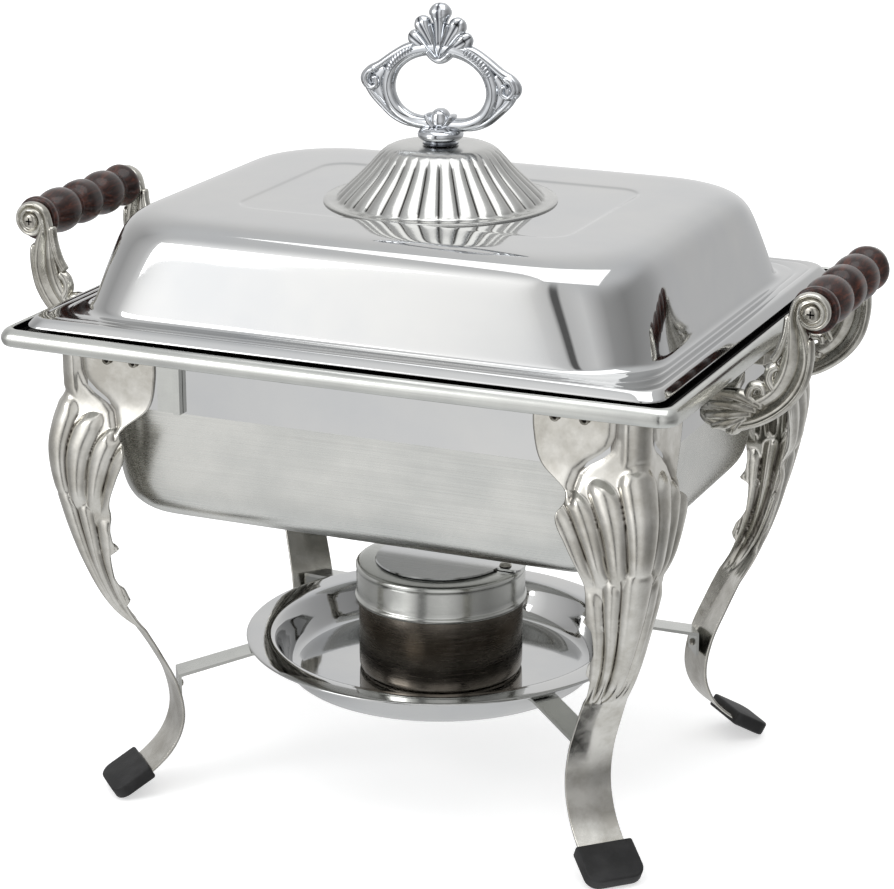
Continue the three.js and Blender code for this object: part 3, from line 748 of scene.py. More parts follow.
@dataclass(frozen=True)
class Leg:
    """A pressed sheet leg: folded round the stand's corner, fluted, and drawn out to a strap."""

    corner: Point = (158.05, 124.05)
    fold_radius: float = 11.7
    sheet: float = 1.5
    stations: tuple[tuple[float, float, float, float], ...] = (
        # height, keel's distance out, half width, fold in degrees
        (251.8, -4.85, 53.3, 45),
        (238, -4.85, 53.3, 45),
        (222, -4.55, 49.5, 45),
        (209, 0, 38.5, 45),
        (197, 2.7, 44, 45),
        (184, 2, 38, 45),
        (168, -1.5, 29, 45),
        (150, -6.5, 24, 44),
        (132, -13, 18, 40),
        (114, -21.5, 14, 30),
        (97, -33, 12.2, 14),
        (79, -44, 12.2, 6),
        (60, -53, 12.4, 5),
        (42, -56, 12.5, 4),
        (27, -51, 12.5, 3),
        (15, -39.5, 12.5, 1),
        (4, -21, 12.5, 0),
    )
    # The fan of flutes: a flute's edges as slopes from the fan's foot, its top and its height.
    fan_foot: float = 115.0
    flutes: tuple[tuple[float, float, float, float], ...] = (
        (-0.115, 0.115, 225.0, 3.4),
        (0.115, 0.290, 217.5, 3.4),
        (0.290, 0.450, 211.0, 3.2),
        (0.450, 0.640, 207.5, 3.0),
    )
    fan_end: float = 163.0
    # The lower leaf: each lobe's edges as shares of the half width, its top and its height.
    lobes: tuple[tuple[float, float, float, float], ...] = (
        (-0.31, 0.31, 177.0, 3.2),
        (0.31, 0.66, 169.0, 2.4),
        (0.66, 1.08, 160.0, 1.8),
    )
    leaf_end: float = 93.0
    # The groove pressed beside the corner column, as distance from the keel and height.
    groove: tuple[Point, ...] = (
        (11.4, 254), (11.4, 245), (11.8, 238), (14.2, 232), (19, 227.6), (25, 223.8), (30.5, 219),
        (34.5, 212), (36, 205),
    )
    # The leaf's teeth, as height and how far the edge steps out.
    teeth: tuple[Point, ...] = (
        (152, 0), (147, 0.8), (142.5, 3.4), (139.5, -0.8), (126, -0.8), (117, 2.4), (112.5, 2.8),
        (109, 0.2), (101, 0),
    )

    def tooth(self, height: float) -> float:
        """How far the leaf's edge steps out at a height."""
        for (high, start), (low, end) in zip(self.teeth, self.teeth[1:]):
            if low <= height <= high:
                return start + (end - start) * (high - height) / (high - low)
        return 0.0

    @staticmethod
    def lobe_relief(place: float, height: float, scale: float, lobes: Iterable[tuple], end: float) -> Point:
        """The height of a fan of rounded lobes.

        Args:
            place: The place across, in the lobes' own measure.
            height: The height on the leg.
            scale: How many millimetres one unit of the lobes' measure is here.
            lobes: Each lobe's edges, top and height.
            end: The height at which the lobes run out.

        Returns:
            How far the sheet stands out, and how bright its surface is.
        """
        for low, high, top, amount in lobes:
            side = place if low < 0 else abs(place)
            if not low <= side <= high:
                continue
            across = (2 * side - low - high) / (high - low)
            bulge = 1 - abs(across) ** 2.4
            crown = top - 0.4 * (high - low) * scale * (1 - bulge)
            cap = min(max((crown - height) / 7.5, 0.0), 1.0)
            run = min(max((height - end) / 14.0, 0.0), 1.0)
            inside = min(max((crown + 1.5 - height) / 3.0, 0.0), 1.0)
            crease = max(1 - 1.8 * bulge, 0.0) * run
            return amount * bulge * math.sin(math.pi / 2 * cap) * run * (2 - run), 1 - inside * crease
        return 0.0, 1.0

    def relief(self, side: float, height: float, half: float) -> Point:
        """The pressed relief of the sheet.

        Args:
            side: The distance across the sheet from the keel.
            height: The height on the leg.
            half: The sheet's half width there.

        Returns:
            How far the sheet stands out, and how bright its surface is, from 0 in a hollow to 1.
        """
        rise = max(height - self.fan_foot, 1.0)
        fan, fan_light = self.lobe_relief(side / rise, height, rise, self.flutes, self.fan_end)
        leaf, leaf_light = self.lobe_relief(side / half, height, half, self.lobes, self.leaf_end)
        near = min(
            self.to_segment(abs(side), height, start, end) for start, end in zip(self.groove, self.groove[1:])
        )
        cut = math.exp(-((near / 1.9) ** 2))
        column = 1.6 * math.sqrt(max(1 - (side / 8.5) ** 2, 0.0)) * min(max((height - 222) / 6.0, 0.0), 1.0)
        light = fan_light if height > 178 else min(leaf_light, fan_light if height > 168 else 1.0)
        return max(fan, leaf) + column - 1.4 * cut, min(light, 1 - 0.8 * cut)

    @staticmethod
    def to_segment(x: float, z: float, start: Point, end: Point) -> float:
        """The distance from a point to a straight stretch."""
        run, rise = end[0] - start[0], end[1] - start[1]
        share = ((x - start[0]) * run + (z - start[1]) * rise) / (run * run + rise * rise)
        share = min(max(share, 0.0), 1.0)
        return math.hypot(x - start[0] - share * run, z - start[1] - share * rise)

    def section(self, down: float) -> tuple[float, float, float, float]:
        """The keel's height and distance out, the half width and the fold in radians."""
        height, out, half, fold = smooth_path(self.stations, down)
        return height, out, half, math.radians(max(fold, 0.0))

    def surface(self, side: float, down: float, lift: float = 0.0) -> Vector:
        """A point on the front right leg.

        Args:
            side: The distance across the sheet from the keel.
            down: The place down the leg, from 0 to 1.
            lift: How far the point stands out of the sheet.

        Returns:
            The point in millimetres.
        """
        height, out, _, fold = self.section(down)
        knee = max(self.fold_radius * fold, 3.0)
        turn = min(abs(side) / knee, 1.0) * fold
        straight = max(abs(side) - knee, 0.0)
        radius = knee / fold if fold > 1e-3 else 0.0
        back = radius * (1 - math.cos(turn)) + straight * math.sin(turn)
        across = (radius * math.sin(turn) if radius else min(abs(side), knee)) + straight * math.cos(turn)
        above, below = self.section(down - 0.004), self.section(down + 0.004)
        fall = Vector((below[1] - above[1], below[0] - above[0])).normalized()
        ahead = out - back - lift * math.cos(turn) * fall.y
        across = math.copysign(across + lift * math.sin(turn), side)
        height += lift * math.cos(turn) * fall.x
        root = math.sqrt(0.5)
        x, y = self.corner
        return Vector((x + (ahead + across) * root, -y - (ahead - across) * root, height))

    def blank(self) -> bmesh.types.BMesh:
        """The front right leg's pressed sheet, before it gets its thickness."""
        bm = relief_mesh()
        relief = bm.verts.layers.float["relief"]
        made = bmesh.ops.create_grid(bm, x_segments=112, y_segments=320, size=0.5)["verts"]
        for vert in made:
            share, down = 2 * vert.co.x, vert.co.y + 0.5
            height, _, half, _ = self.section(down)
            wide = half + self.tooth(height)
            side = share * wide
            lift, light = self.relief(side, height, half)
            vert.co = self.surface(side, down, lift)
            # Painted shade: the relief layer carries how bright the sheet looks, low in creases and the
            # groove.
            vert[relief] = light
        bmesh.ops.recalc_face_normals(bm, faces=bm.faces)
        outwards(bm, Vector((60, -40, 130)))
        return bm

    def build(self, finish: Finishes) -> None:
        """Builds the four legs.

        Args:
            finish: The finishes.
        """
        blank = self.blank()
        look = Look(finish.stamped, Slot.LEG, "stand", 50, 0, self.sheet)
        for corner in Corner:
            make_piece(mirrored(blank, corner), f"pressed_leg_{corner.tag}", look, f"leg_{corner.tag}")
        blank.free()


@dataclass(frozen=True)
class FootCap:
    """The rubber cap on a leg's tip: a rounded block with a worn flat sole."""

    length: float = 23.0
    width: float = 31.0
    thickness: float = 7.4
    tip: tuple[float, float, float] = (144.6, 110.7, 3.0)
    fall_deg: float = 30.0
    end_radius: float = 7.0

    def build(self, finish: Finishes) -> None:
        """Builds the four caps.

        Args:
            finish: The finishes.
        """
        bm = bmesh.new()
        bmesh.ops.create_cube(bm, size=1.0)
        bmesh.ops.scale(bm, vec=(self.length, self.width, self.thickness), verts=bm.verts)
        ends = [
            edge for edge in bm.edges
            if all(vert.co.x > 0 for vert in edge.verts) and abs(edge.verts[0].co.z - edge.verts[1].co.z) > 1
        ]
        round_edges(bm, ends, self.end_radius, 6)
        rims = [edge for edge in bm.edges if edge.calc_face_angle(0) > math.radians(50)]
        round_edges(bm, rims, 1.3, 3)
        bmesh.ops.translate(bm, vec=(-self.length / 2, 0, 0), verts=bm.verts)
        turned(bm, "Y", self.fall_deg)
        turned(bm, "Z", -45, (self.tip[0], -self.tip[1], self.tip[2]))
        for vert in bm.verts:
            vert.co.z = max(vert.co.z, 0.0)
        look = Look(finish.rubber, Slot.RUBBER, "stand", 50)
        for corner in Corner:
            make_piece(mirrored(bm, corner), f"rubber_cap_{corner.tag}", look, f"foot_cap_{corner.tag}")
        bm.free()


@dataclass(frozen=True)
class Rivets:
    """Tubular rivets: a rolled ring round a hollow that is painted dark as shade."""

    radius: float = 2.5
    stand: float = 1.3

    def eyelet(self) -> bmesh.types.BMesh:
        """One rivet head that stands on +Z."""
        radius, stand = self.radius, self.stand
        profile = [
            (0, 0.25), (radius * 0.4, 0.3), (radius * 0.5, stand * 0.75), (radius * 0.66, stand),
            (radius * 0.84, stand * 0.8), (radius, stand * 0.3), (radius, 0), (0, 0),
        ]
        bm = spun(profile, 20)
        # Painted shade: the hollow inside the rolled ring takes the near-black second material.
        paint_core(bm, radius * 0.44, 0.1, stand)
        return bm

    def build(self, finish: Finishes) -> None:
        """Builds the leg rivets where the frame has them.

        Args:
            finish: The finishes.
        """
        look = Look(finish.fastener, Slot.FASTENER, "stand", 60, second=finish.channel)
        places = ("inner", "outer", "side")
        names = [f"leg_rivet_{corner.tag}_{place}" for corner in Corner for place in places]
        for name in names:
            low, high = (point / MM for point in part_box(name))
            middle = (low + high) / 2
            bm = self.eyelet()
            if name.endswith("side"):
                out = math.copysign(1, middle.x)
                axis, degrees = "Y", 90 * out
                foot = Vector((min(low.x, high.x, key=abs), middle.y, middle.z))
            else:
                out = math.copysign(1, middle.y)
                axis, degrees = "X", -90 * out
                foot = Vector((middle.x, min(low.y, high.y, key=abs), middle.z))
            turned(bm, axis, degrees, foot)
            make_piece(bm, name.replace("leg_rivet", "tubular_rivet"), look, name)


@dataclass(frozen=True)
class BurnerTray:
    """The round dished tray with a flat rim."""

    rim_radius: float = 104.8
    rim_width: float = 12.7
    floor_radius: float = 80.0
    top: float = 75.0
    floor: float = 55.0
    sheet: float = 1.0

    def build(self, finish: Finishes) -> None:
        """Builds the tray.

        Args:
            finish: The finishes.
        """
        lip = self.rim_radius - self.rim_width
        profile = [
            (0, self.floor), (60, self.floor), (self.floor_radius - 3, self.floor),
            (self.floor_radius + 1, self.floor + 0.7), (84.6, self.floor + 4), (lip - 4.2, self.top - 5),
            (lip - 2, self.top - 1.2), (lip - 0.6, self.top - 0.2), (lip + 0.8, self.top),
            (self.rim_radius - 0.8, self.top), (self.rim_radius, self.top - 0.3),
        ]
        bm = spun(profile, 96)
        outwards(bm, Vector((0, 0, 40)))
        look = Look(finish.mirror, Slot.POLISHED, "stand", 180, 1, self.sheet)
        make_piece(bm, "dished_burner_tray", look, "burner_tray")


# ---------------------------------------------------------------- side handles


@dataclass(frozen=True)
class SideHandle:
    """A cast scroll bracket at each end of a turned grip, with its screw."""

    eye: Point = (215.0, 288.0)
    face_y: Point = (46.8, 52.8)
    root_top: float = 245.8
    apron_x: float = 157.4

    @property
    def middle_y(self) -> float:
        """The middle plane of the front bracket."""
        return -sum(self.face_y) / 2

    def scroll_path(self) -> list[Point]:
        """The stem's line: out of the root, up in an S, and once round the eye."""
        x, z = self.eye
        stem = [
            (160, 233.5), (174, 232), (187, 235.5), (198, 242.5), (205, 252), (208.3, 263), (208, 274),
            (206.6, 284),
        ]
        for step in range(1, 10):
            turn = math.radians(190 - 40 * step)
            reach = 8.6 - 0.42 * step
            stem.append((x + reach * math.cos(turn), z + reach * math.sin(turn)))
        return stem

    def casting(self) -> bmesh.types.BMesh:
        """The front right bracket."""
        bm = relief_mesh()
        half = (self.face_y[1] - self.face_y[0]) / 2
        path = self.scroll_path()
        widths = [8.5, 8.2, 7.6, 7.4, 7.8, 8.0, 6.4, 3.6] + [2.7] * 8 + [2.2]
        depths = [half] * 8 + [half * 1.1] * 9
        Bar(path, widths, depths, rows=150, columns=28, squareness=0.7, groove=2.6).add_to(bm, self.middle_y)
        # The ridge that runs up the outside of the stem, and the curls inside its bends.
        ridges = (
            ([(176, 226.6), (190, 230.5), (203, 239.5), (211.5, 251), (214.6, 264), (214.4, 276)], 2.0, 1.12),
            ([(196, 262), (199.6, 268), (202.4, 277), (203.4, 286)], 2.2, 1.0),
            ([(198, 247), (194.6, 252.5), (195.6, 258), (199.4, 260.6)], 2.8, 1.05),
            ([(189, 240), (184.8, 243.4), (186.6, 248.6), (191.4, 248.4), (192.4, 244.6)], 2.5, 1.1),
        )
        for line, width, deep in ridges:
            bar = Bar(line, [width] * len(line), [half * deep] * len(line), rows=28, columns=14)
            bar.add_to(bm, self.middle_y)
        # The leaf that wraps the root: blades that fan out from the stem.
        tips = ((166.5, 243.5), (163.5, 237.5), (162.5, 231), (166, 226.2), (174, 224.8))
        for index, (tip_x, tip_z) in enumerate(tips):
            start = (193 - 2.6 * index, 238.5 - 1.6 * index)
            bend = ((start[0] + tip_x) / 2, (start[1] + tip_z) / 2 + 2.0 - index)
            Bar(
                [start, bend, (tip_x, tip_z)], [2.2, 3.4, 1.8], [half * 1.05, half * 1.3, half * 0.9],
                rows=22, columns=14, groove=0.7,
            ).add_to(bm, self.middle_y)
        self.add_root(bm)
        self.add_boss(bm)
        bmesh.ops.recalc_face_normals(bm, faces=bm.faces)
        return bm

    def add_root(self, bm: bmesh.types.BMesh) -> None:
        """Adds the flat-topped block that bears on the apron."""
        relief = bm.verts.layers.float["relief"]
        made = bmesh.ops.create_cube(bm, size=1.0)["verts"]
        deep = -16 + self.face_y[1] - 0.3
        bmesh.ops.scale(bm, vec=(20.6, deep, 6.2), verts=made)
        middle = (self.apron_x + 10.3, -self.face_y[1] + 0.3 + deep / 2, self.root_top - 3.1)
        bmesh.ops.translate(bm, vec=middle, verts=made)
        for vert in made:
            if vert.co.x > 170 and vert.co.y > -30:
                vert.co.x -= 6
        edges = list({edge for vert in made for edge in vert.link_edges})
        for vert in round_edges(bm, edges, 0.8, 2)["verts"]:
            vert[relief] = 0.8

    def add_boss(self, bm: bmesh.types.BMesh) -> None:
        """Adds the dished boss in the eye, which the screw goes through."""
        relief = bm.verts.layers.float["relief"]
        x, z = self.eye
        near, far = self.face_y
        profile = [
            (0, near), (6.6, near), (7.4, near + 1), (7.4, far - 1.2), (6.6, far - 0.2), (5.7, far + 0.2),
            (4.9, far - 0.7), (4.4, far - 1.3), (0, far - 1.3),
        ]
        boss = spun(profile, 32)
        turned(boss, "X", 90, (x, 0, z))
        mesh = bpy.data.meshes.new("boss")
        boss.to_mesh(mesh)
        boss.free()
        before = set(bm.verts)
        bm.from_mesh(mesh)
        bpy.data.meshes.remove(mesh)
        for vert in set(bm.verts) - before:
            vert[relief] = 0.9

    def screw(self) -> bmesh.types.BMesh:
        """The front right grip screw: a pan head with a cross recess."""
        x, z = self.eye
        head = self.face_y[1] - 1.2
        top, tip = head + 2.2, 39.2
        profile = [
            (2.6, top - 0.1), (3.6, top - 0.5), (4.2, top - 1.3), (4.2, head), (2.0, head), (2.0, tip),
            (0, tip),
        ]
        bm = spun(profile, 24)
        cross = bmesh.ops.create_circle(bm, cap_ends=False, radius=1.0, segments=12)["verts"]
        arm, slim = 1.9, 0.42
        outline = [(arm, slim), (slim, slim), (slim, arm), (-slim, arm), (-slim, slim), (-arm, slim)]
        outline += [(-px, -py) for px, py in outline]
        for vert, (px, py) in zip(cross, outline):
            vert.co = Vector((px, py, top))
        cross_edges = [edge for edge in bm.edges if all(vert in cross for vert in edge.verts)]
        ring = [edge for edge in bm.edges if edge.is_boundary and edge not in cross_edges]
        bmesh.ops.bridge_loops(bm, edges=ring + cross_edges)
        deep = bmesh.ops.extrude_edge_only(bm, edges=cross_edges)["geom"]
        sunk = [item for item in deep if isinstance(item, bmesh.types.BMVert)]
        bmesh.ops.translate(bm, vec=(0, 0, -1.4), verts=sunk)
        floor = [item for item in deep if isinstance(item, bmesh.types.BMEdge)]
        bmesh.ops.holes_fill(bm, edges=[edge for edge in floor if edge.is_boundary], sides=0)
        bmesh.ops.recalc_face_normals(bm, faces=bm.faces)
        # Painted shade: the walls and floor of the cross recess take the near-black second material.
        paint_core(bm, 2.0, top - 1.5, top - 0.2)
        turned(bm, "X", 90, (x, 0, z))
        return bm

    def grip(self) -> bmesh.types.BMesh:
        """The right grip: end collar, barrel, middle ring, barrel, end collar."""
        half = [
            (0.0, 11.9), (2.6, 11.9), (4.6, 11.6), (6.4, 10.9), (7.7, 9.8), (8.7, 8.8), (9.6, 8.4),
            (11.4, 8.4), (12.7, 8.8), (14.4, 9.9), (17, 11.3), (20, 11.95), (22.5, 12.1), (25, 12.05),
            (27.4, 11.8), (31.6, 10.4), (33.8, 9.3), (35.2, 8.5), (36.4, 8.4), (37.4, 8.9), (39, 9.9),
            (41, 11.2), (43, 11.8), (44.8, 11.8), (46, 11.3), (46.2, 10.6), (46.2, 4.0), (46.2, 0.0),
        ]
        profile = [(radius, -height) for height, radius in reversed(half)]
        profile += [(radius, height) for height, radius in half[1:]]
        bm = spun(profile, 48)
        turned(bm, "X", 90, (self.eye[0], 0, self.eye[1]))
        return bm

    def build(self, finish: Finishes) -> None:
        """Builds both handles.

        Args:
            finish: The finishes.
        """
        casting, screw, grip = self.casting(), self.screw(), self.grip()
        cast = Look(finish.nickel, Slot.CASTING, "stand", 60)
        steel = Look(finish.fastener, Slot.FASTENER, "stand", 40, second=finish.channel)
        wood = Look(finish.wood, Slot.WOOD, "stand", 60, 1)
        left_rise = (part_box("grip_left")[0].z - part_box("grip_right")[0].z) / MM
        for corner in Corner:
            name = corner.tag
            rise = left_rise if corner.value[0] < 0 else 0.0
            bracket = mirrored(casting, corner, rise)
            make_piece(bracket, f"scroll_bracket_{name}", cast, f"handle_bracket_{name}")
            make_piece(mirrored(screw, corner, rise), f"cross_screw_{name}", steel, f"grip_screw_{name}")
        make_piece(mirrored(grip, Corner.FRONT_RIGHT), "turned_grip_right", wood, "grip_right")
        make_piece(mirrored(grip, Corner.FRONT_LEFT, left_rise), "turned_grip_left", wood, "grip_left")
        for bm in (casting, screw, grip):
            bm.free()


# ---------------------------------------------------------------- pans


@dataclass(frozen=True)
class Pans:
    """The water pan and the food pan that hangs in it."""

    water_bottom: float = 154.6
    water_flange: float = 256.4
    food_bottom: float = 196.0
    food_flange: float = 263.3
    sheet: float = 1.0

    def water_levels(self) -> list[Level]:
        """The outside of the water pan, from the middle of its bottom to its flange."""
        low, flange = self.water_bottom, self.water_flange
        rows = [
            (0, 0, low, 0), (70, 44, low, 8), (114, 81, low, 12), (124, 91, low + 0.6, 17),
            (133, 100, low + 4.2, 23), (139.6, 106.6, low + 10.6, 28), (143.2, 110.2, low + 18.6, 32),
            (144.8, 111.6, low + 28, 33), (147.2, 114.1, 216, 30), (149.5, 116.5, 247, 28),
            (150.1, 117.1, 252.6, 28), (151.0, 118.0, flange - 0.5, 28), (152.8, 119.8, flange, 27),
            (160, 127, flange, 18), (170.2, 137.2, flange, 9), (171, 138, flange + 0.3, 9),
        ]
        return [Level(*row) for row in rows]

    def food_levels(self) -> list[Level]:
        """The outside of the food pan, from the middle of its bottom to its rolled edge."""
        low, flange = self.food_bottom, self.food_flange
        rows = [
            (0, 0, low, 0), (70, 44, low, 8), (114, 82, low, 10), (124, 92, low + 0.6, 14),
            (133, 101, low + 4.4, 20), (138.4, 106.4, low + 11, 23), (140.2, 108.2, low + 18, 24),
            (145, 113, 254, 24), (146, 114, 260.4, 24), (147.2, 115.2, flange - 0.4, 24),
            (149.2, 117.2, flange, 23), (158, 126, flange, 14), (161.4, 129.4, flange, 10),
            (162.3, 130.3, flange - 0.9, 10), (162.4, 130.4, 258.2, 10),
        ]
        return [Level(*row) for row in rows]

    def build(self, finish: Finishes) -> None:
        """Builds both pans.

        Args:
            finish: The finishes.
        """
        bm = Squarer().shell(self.water_levels())
        outwards(bm, Vector((0, 0, 230)))
        # Painted shade: the flange, from ring 12 out, takes the near-black second material, for the dark gap
        # under the lid.
        paint_rings(bm, 12)
        look = Look(finish.brushed, Slot.SATIN, "water_pan", 180, 2, self.sheet, finish.channel)
        make_piece(bm, "deep_water_pan", look, "water_pan")
        bm = Squarer().shell(self.food_levels())
        outwards(bm, Vector((0, 0, 240)))
        look = Look(finish.satin, Slot.SATIN, "food_pan", 180, 2, self.sheet)
        make_piece(bm, "half_size_food_pan", look, "food_pan")


# ---------------------------------------------------------------- lid


@dataclass(frozen=True)
class Lid:
    """The lid: a mirror cover, a fluted dome, a bead collar and a cast ring handle."""

    top: float = 314.4
    panel: float = 313.4
    ledge: float = 265.8
    edge: float = 260.9
    flutes: int = 32
    dome_base: float = 314.4
    collar_low: float = 342.6
    collar_high: float = 351.8
    # The bars that scroll round the ring: each one's line, half widths, half depth and rows.
    scrolls: tuple[tuple[Sequence[Point], Sequence[float], float, int], ...] = (
        (
            ((12, 393.6), (19, 391), (26.4, 386.6), (33.6, 381.4), (39.2, 378), (42, 373.6), (39.6, 368.6)),
            (2.0, 2.2, 2.2, 2.3, 2.6, 2.8, 2.0), 3.0, 40,
        ),
        (
            ((41.6, 372), (38, 366.6), (32.6, 361.2), (26, 355.6), (18, 352.2), (10, 351.9)),
            (1.8, 2.2, 2.2, 2.0, 1.7, 1.4), 2.8, 40,
        ),
        (
            (
                (34.4, 379.4), (39.4, 377.6), (41.4, 373.2), (38.6, 369.6), (34.9, 371), (35.3, 374.6),
                (38, 374.6),
            ),
            (2.2, 2.3, 2.2, 2.1, 1.8, 1.6, 1.5), 4.2, 40,
        ),
        (((30, 380), (34, 375), (33.6, 368), (28.6, 361.4)), (3.2, 4.6, 4.6, 3.0), 2.0, 30),
    )

    def cover_levels(self) -> list[Level]:
        """The outside of the cover, from its middle to the flange's edge."""
        top, panel, ledge, edge = self.top, self.panel, self.ledge, self.edge
        rows = [
            (0, 0, panel, 0), (44, 28, panel, 18), (84, 53, panel, 12),
            (89.4, 57.6, panel + 0.04, 13), (90.6, 58.8, panel + 0.3, 14),
            (91.6, 59.8, top - 0.1, 15), (93.4, 61.6, top, 17), (116, 84.2, top, 36),
            (126, 94.2, top - 0.1, 40), (132.6, 100.8, top - 1.0, 43), (138.4, 106.6, top - 3.4, 45),
            (142.4, 110.4, top - 7.2, 46), (145, 112.8, top - 12.2, 46), (147, 114.6, 295, 44),
            (151, 118.2, 279, 40), (153, 119.9, 269.8, 38), (154, 120.6, 267.2, 37),
            (155.8, 121.8, ledge + 0.1, 36), (157.4, 123.4, ledge, 34), (158.8, 125.4, ledge, 28),
            (159.4, 126.2, ledge - 0.5, 26), (160, 127, ledge, 24), (163, 130.6, ledge, 17),
            (163.6, 131.4, ledge - 0.4, 16), (164.2, 132.2, ledge, 15), (166.6, 134.8, ledge, 12.4),
            (167.5, 135.7, ledge - 0.3, 12), (169.6, 137.8, edge + 1.5, 11),
            (170.2, 138.4, edge + 0.7, 11), (170.2, 138.4, edge, 11),
        ]
        return [Level(*row) for row in rows]

    def build_cover(self, finish: Finishes) -> None:
        """Builds the mirror cover.

        Args:
            finish: The finishes.
        """
        bm = Squarer(4, 7, 5).shell(self.cover_levels())
        outwards(bm, Vector((0, 0, 270)))
        look = Look(finish.mirror, Slot.POLISHED, "lid", 180, 2, 0.9)
        make_piece(bm, "mirror_lid_cover", look, "lid_cover")

    def build_dome(self, finish: Finishes) -> None:
        """Builds the fluted dome and its flat flange.

        Args:
            finish: The finishes.
        """
        base = self.dome_base
        profile = [
            (0, 342.3), (16, 342.3), (22, 342.2), (25.4, 341.7), (28.4, 340.4), (31, 338.4),
            (33.6, 335.6), (36.6, 332.2), (39.8, 328.9), (43.2, 325.6), (46.8, 322.3), (50, 319.3),
            (52.4, 317.0), (53.6, 315.4), (53.9, base + 0.4), (54.6, base), (58, base), (60.1, base),
            (60.5, base - 0.3), (60.5, base - 1.0),
        ]
        bm = spun(profile, self.flutes * 8)
        relief = bm.verts.layers.float.new("relief")
        ring = bm.verts.layers.int["ring"]
        rise = [0] * 4 + [0.15, 0.4, 0.7, 0.9, 1, 1, 1, 1, 0.95, 0.8, 0.35] + [0] * 5
        for vert in bm.verts:
            share = rise[vert[ring]]
            turn = math.atan2(vert.co.y, vert.co.x)
            swell = abs(math.sin(turn * self.flutes / 2)) ** 0.55
            reach = Vector((vert.co.x, vert.co.y, 0))
            if reach.length > 0:
                vert.co -= reach.normalized() * 2.1 * share * (1 - swell)
            # Painted shade: the relief falls in the valley between flutes, where the finish darkens.
            vert[relief] = 1 - min(share * 1.3, 1.0) * (1 - swell)
        outwards(bm, Vector((0, 0, 300)))
        make_piece(bm, "fluted_lid_dome", Look(finish.fluted, Slot.POLISHED, "lid", 50, 0, 0.8), "lid_dome")

    def build_collar(self, finish: Finishes) -> None:
        """Builds the bead under the ring handle.

        Args:
            finish: The finishes.
        """
        low, high = self.collar_low, self.collar_high
        middle, rise = (low + 1.2 + high) / 2, (high - low - 1.2) / 2
        profile = [(0, low), (9.6, low), (9.6, low + 0.8)]
        for step in range(-3, 4):
            turn = math.radians(25 * step)
            profile.append((5.2 + 6.9 * math.cos(turn), middle + rise * math.sin(turn)))
        profile += [(6, high), (0, high)]
        bm = spun(profile, 64)
        relief = bm.verts.layers.float.new("relief")
        for vert in bm.verts:
            # Painted shade: the foot of the collar, where it sits on the dome, is marked low so its finish
            # darkens there.
            vert[relief] = 0.1 if vert.co.z < low + 1 else 1.0
        make_piece(bm, "bead_collar", Look(finish.chrome, Slot.CHROME, "lid", 60, 1), "lid_collar")

    def ring(self) -> bmesh.types.BMesh:
        """The cast ring: a round bar, scrolled shoulders, a shell crest and a bud at its foot."""
        bm = relief_mesh()
        right = [
            (0, 353.8), (8, 353), (17, 354.4), (24.6, 359), (28.7, 366.4), (28.9, 374), (25.4, 381.8),
            (18.2, 388), (8.8, 391.4),
        ]
        loop = right + [(0, 391.4)] + [(-x, z) for x, z in reversed(right[1:])] + [right[0]]
        swell = [3.8, 3.6, 3.6, 3.8, 3.8, 3.8, 3.8, 3.9, 4.0, 4.2]
        widths = swell + swell[-2:0:-1] + swell[:1]
        Bar(loop, widths, [3.9] * len(loop), rows=160, columns=20, loop=True).add_to(bm)
        for side in (1, -1):
            for line, widths, depth, rows in self.scrolls:
                reach = [(side * x, z) for x, z in line]
                Bar(reach, widths, [depth] * len(line), rows=rows, columns=16 if rows > 30 else 14).add_to(bm)
            hatch = [(13.5, 391.6), (19.4, 388.6), (25, 383.8), (28.4, 378)]
            Bar(
                [(side * x, z) for x, z in hatch], [2.2, 2.6, 2.6, 2.2], [4.9, 5.2, 5.2, 4.8], rows=96,
                columns=14, beads=1.1, bead_count=12,
            ).add_to(bm)
        self.add_crest(bm)
        bud = [(0, 350.6), (0, 354.6), (0, 358), (0, 361.2)]
        Bar(bud, [4.4, 5.6, 4.8, 3.2], [5.0, 6.0, 5.4, 4.2], rows=30, columns=24, blunt=0.3).add_to(bm)
        for side in (1, -1):
            petal = [(side * 2.2, 351.4), (side * 5.4, 354.6), (side * 7.2, 358.2)]
            Bar(petal, [1.6, 2.2, 1.4], [5.0, 5.2, 4.2], rows=20, columns=12).add_to(bm)
        bmesh.ops.recalc_face_normals(bm, faces=bm.faces)
        return bm

    @staticmethod
    def add_crest(bm: bmesh.types.BMesh) -> None:
        """Adds the shell at the top: lobes that fan out, each with a rolled tip."""
        lobes = ((0, 26.4, 6.0), (31, 22.0, 4.8), (-31, 22.0, 4.8), (57, 19.4, 4.3), (-57, 19.4, 4.3))
        for lean, reach, bulb in lobes:
            x, z = math.sin(math.radians(lean)), math.cos(math.radians(lean))
            foot = (x * 1.2, 387.6 + z * 1.2)
            steps = [reach * share for share in (0, 0.3, 0.6, 0.8, 1.0)]
            line = [(foot[0] + x * step, foot[1] + z * step) for step in steps]
            Bar(
                line, [1.8, 2.6, 3.6, bulb, bulb * 0.8], [3.6, 4.0, 4.2, bulb * 0.9, bulb * 0.7], rows=36,
                columns=20, blunt=0.24, groove=0.9,
            ).add_to(bm)
        for lean in (-44, -15, 15, 44):
            x, z = math.sin(math.radians(lean)), math.cos(math.radians(lean))
            line = [(x * share, 386.4 + z * share) for share in (0, 7, 14, 19)]
            Bar(line, [1.0, 1.3, 1.4, 1.0], [4.6, 4.9, 4.4, 3.2], rows=24, columns=12).add_to(bm)
        chin = [(-7, 391), (-3.4, 387.4), (0, 386), (3.4, 387.4), (7, 391)]
        Bar(chin, [2.2] * 5, [4.6] * 5, rows=30, columns=14).add_to(bm)

    def build(self, finish: Finishes) -> None:
        """Builds the whole lid.

        Args:
            finish: The finishes.
        """
        self.build_cover(finish)
        self.build_dome(finish)
        self.build_collar(finish)
        look = Look(finish.chrome, Slot.CHROME, "lid", 60)
        make_piece(self.ring(), "cast_ring_handle", look, "ring_handle")


# ---------------------------------------------------------------- fuel holder


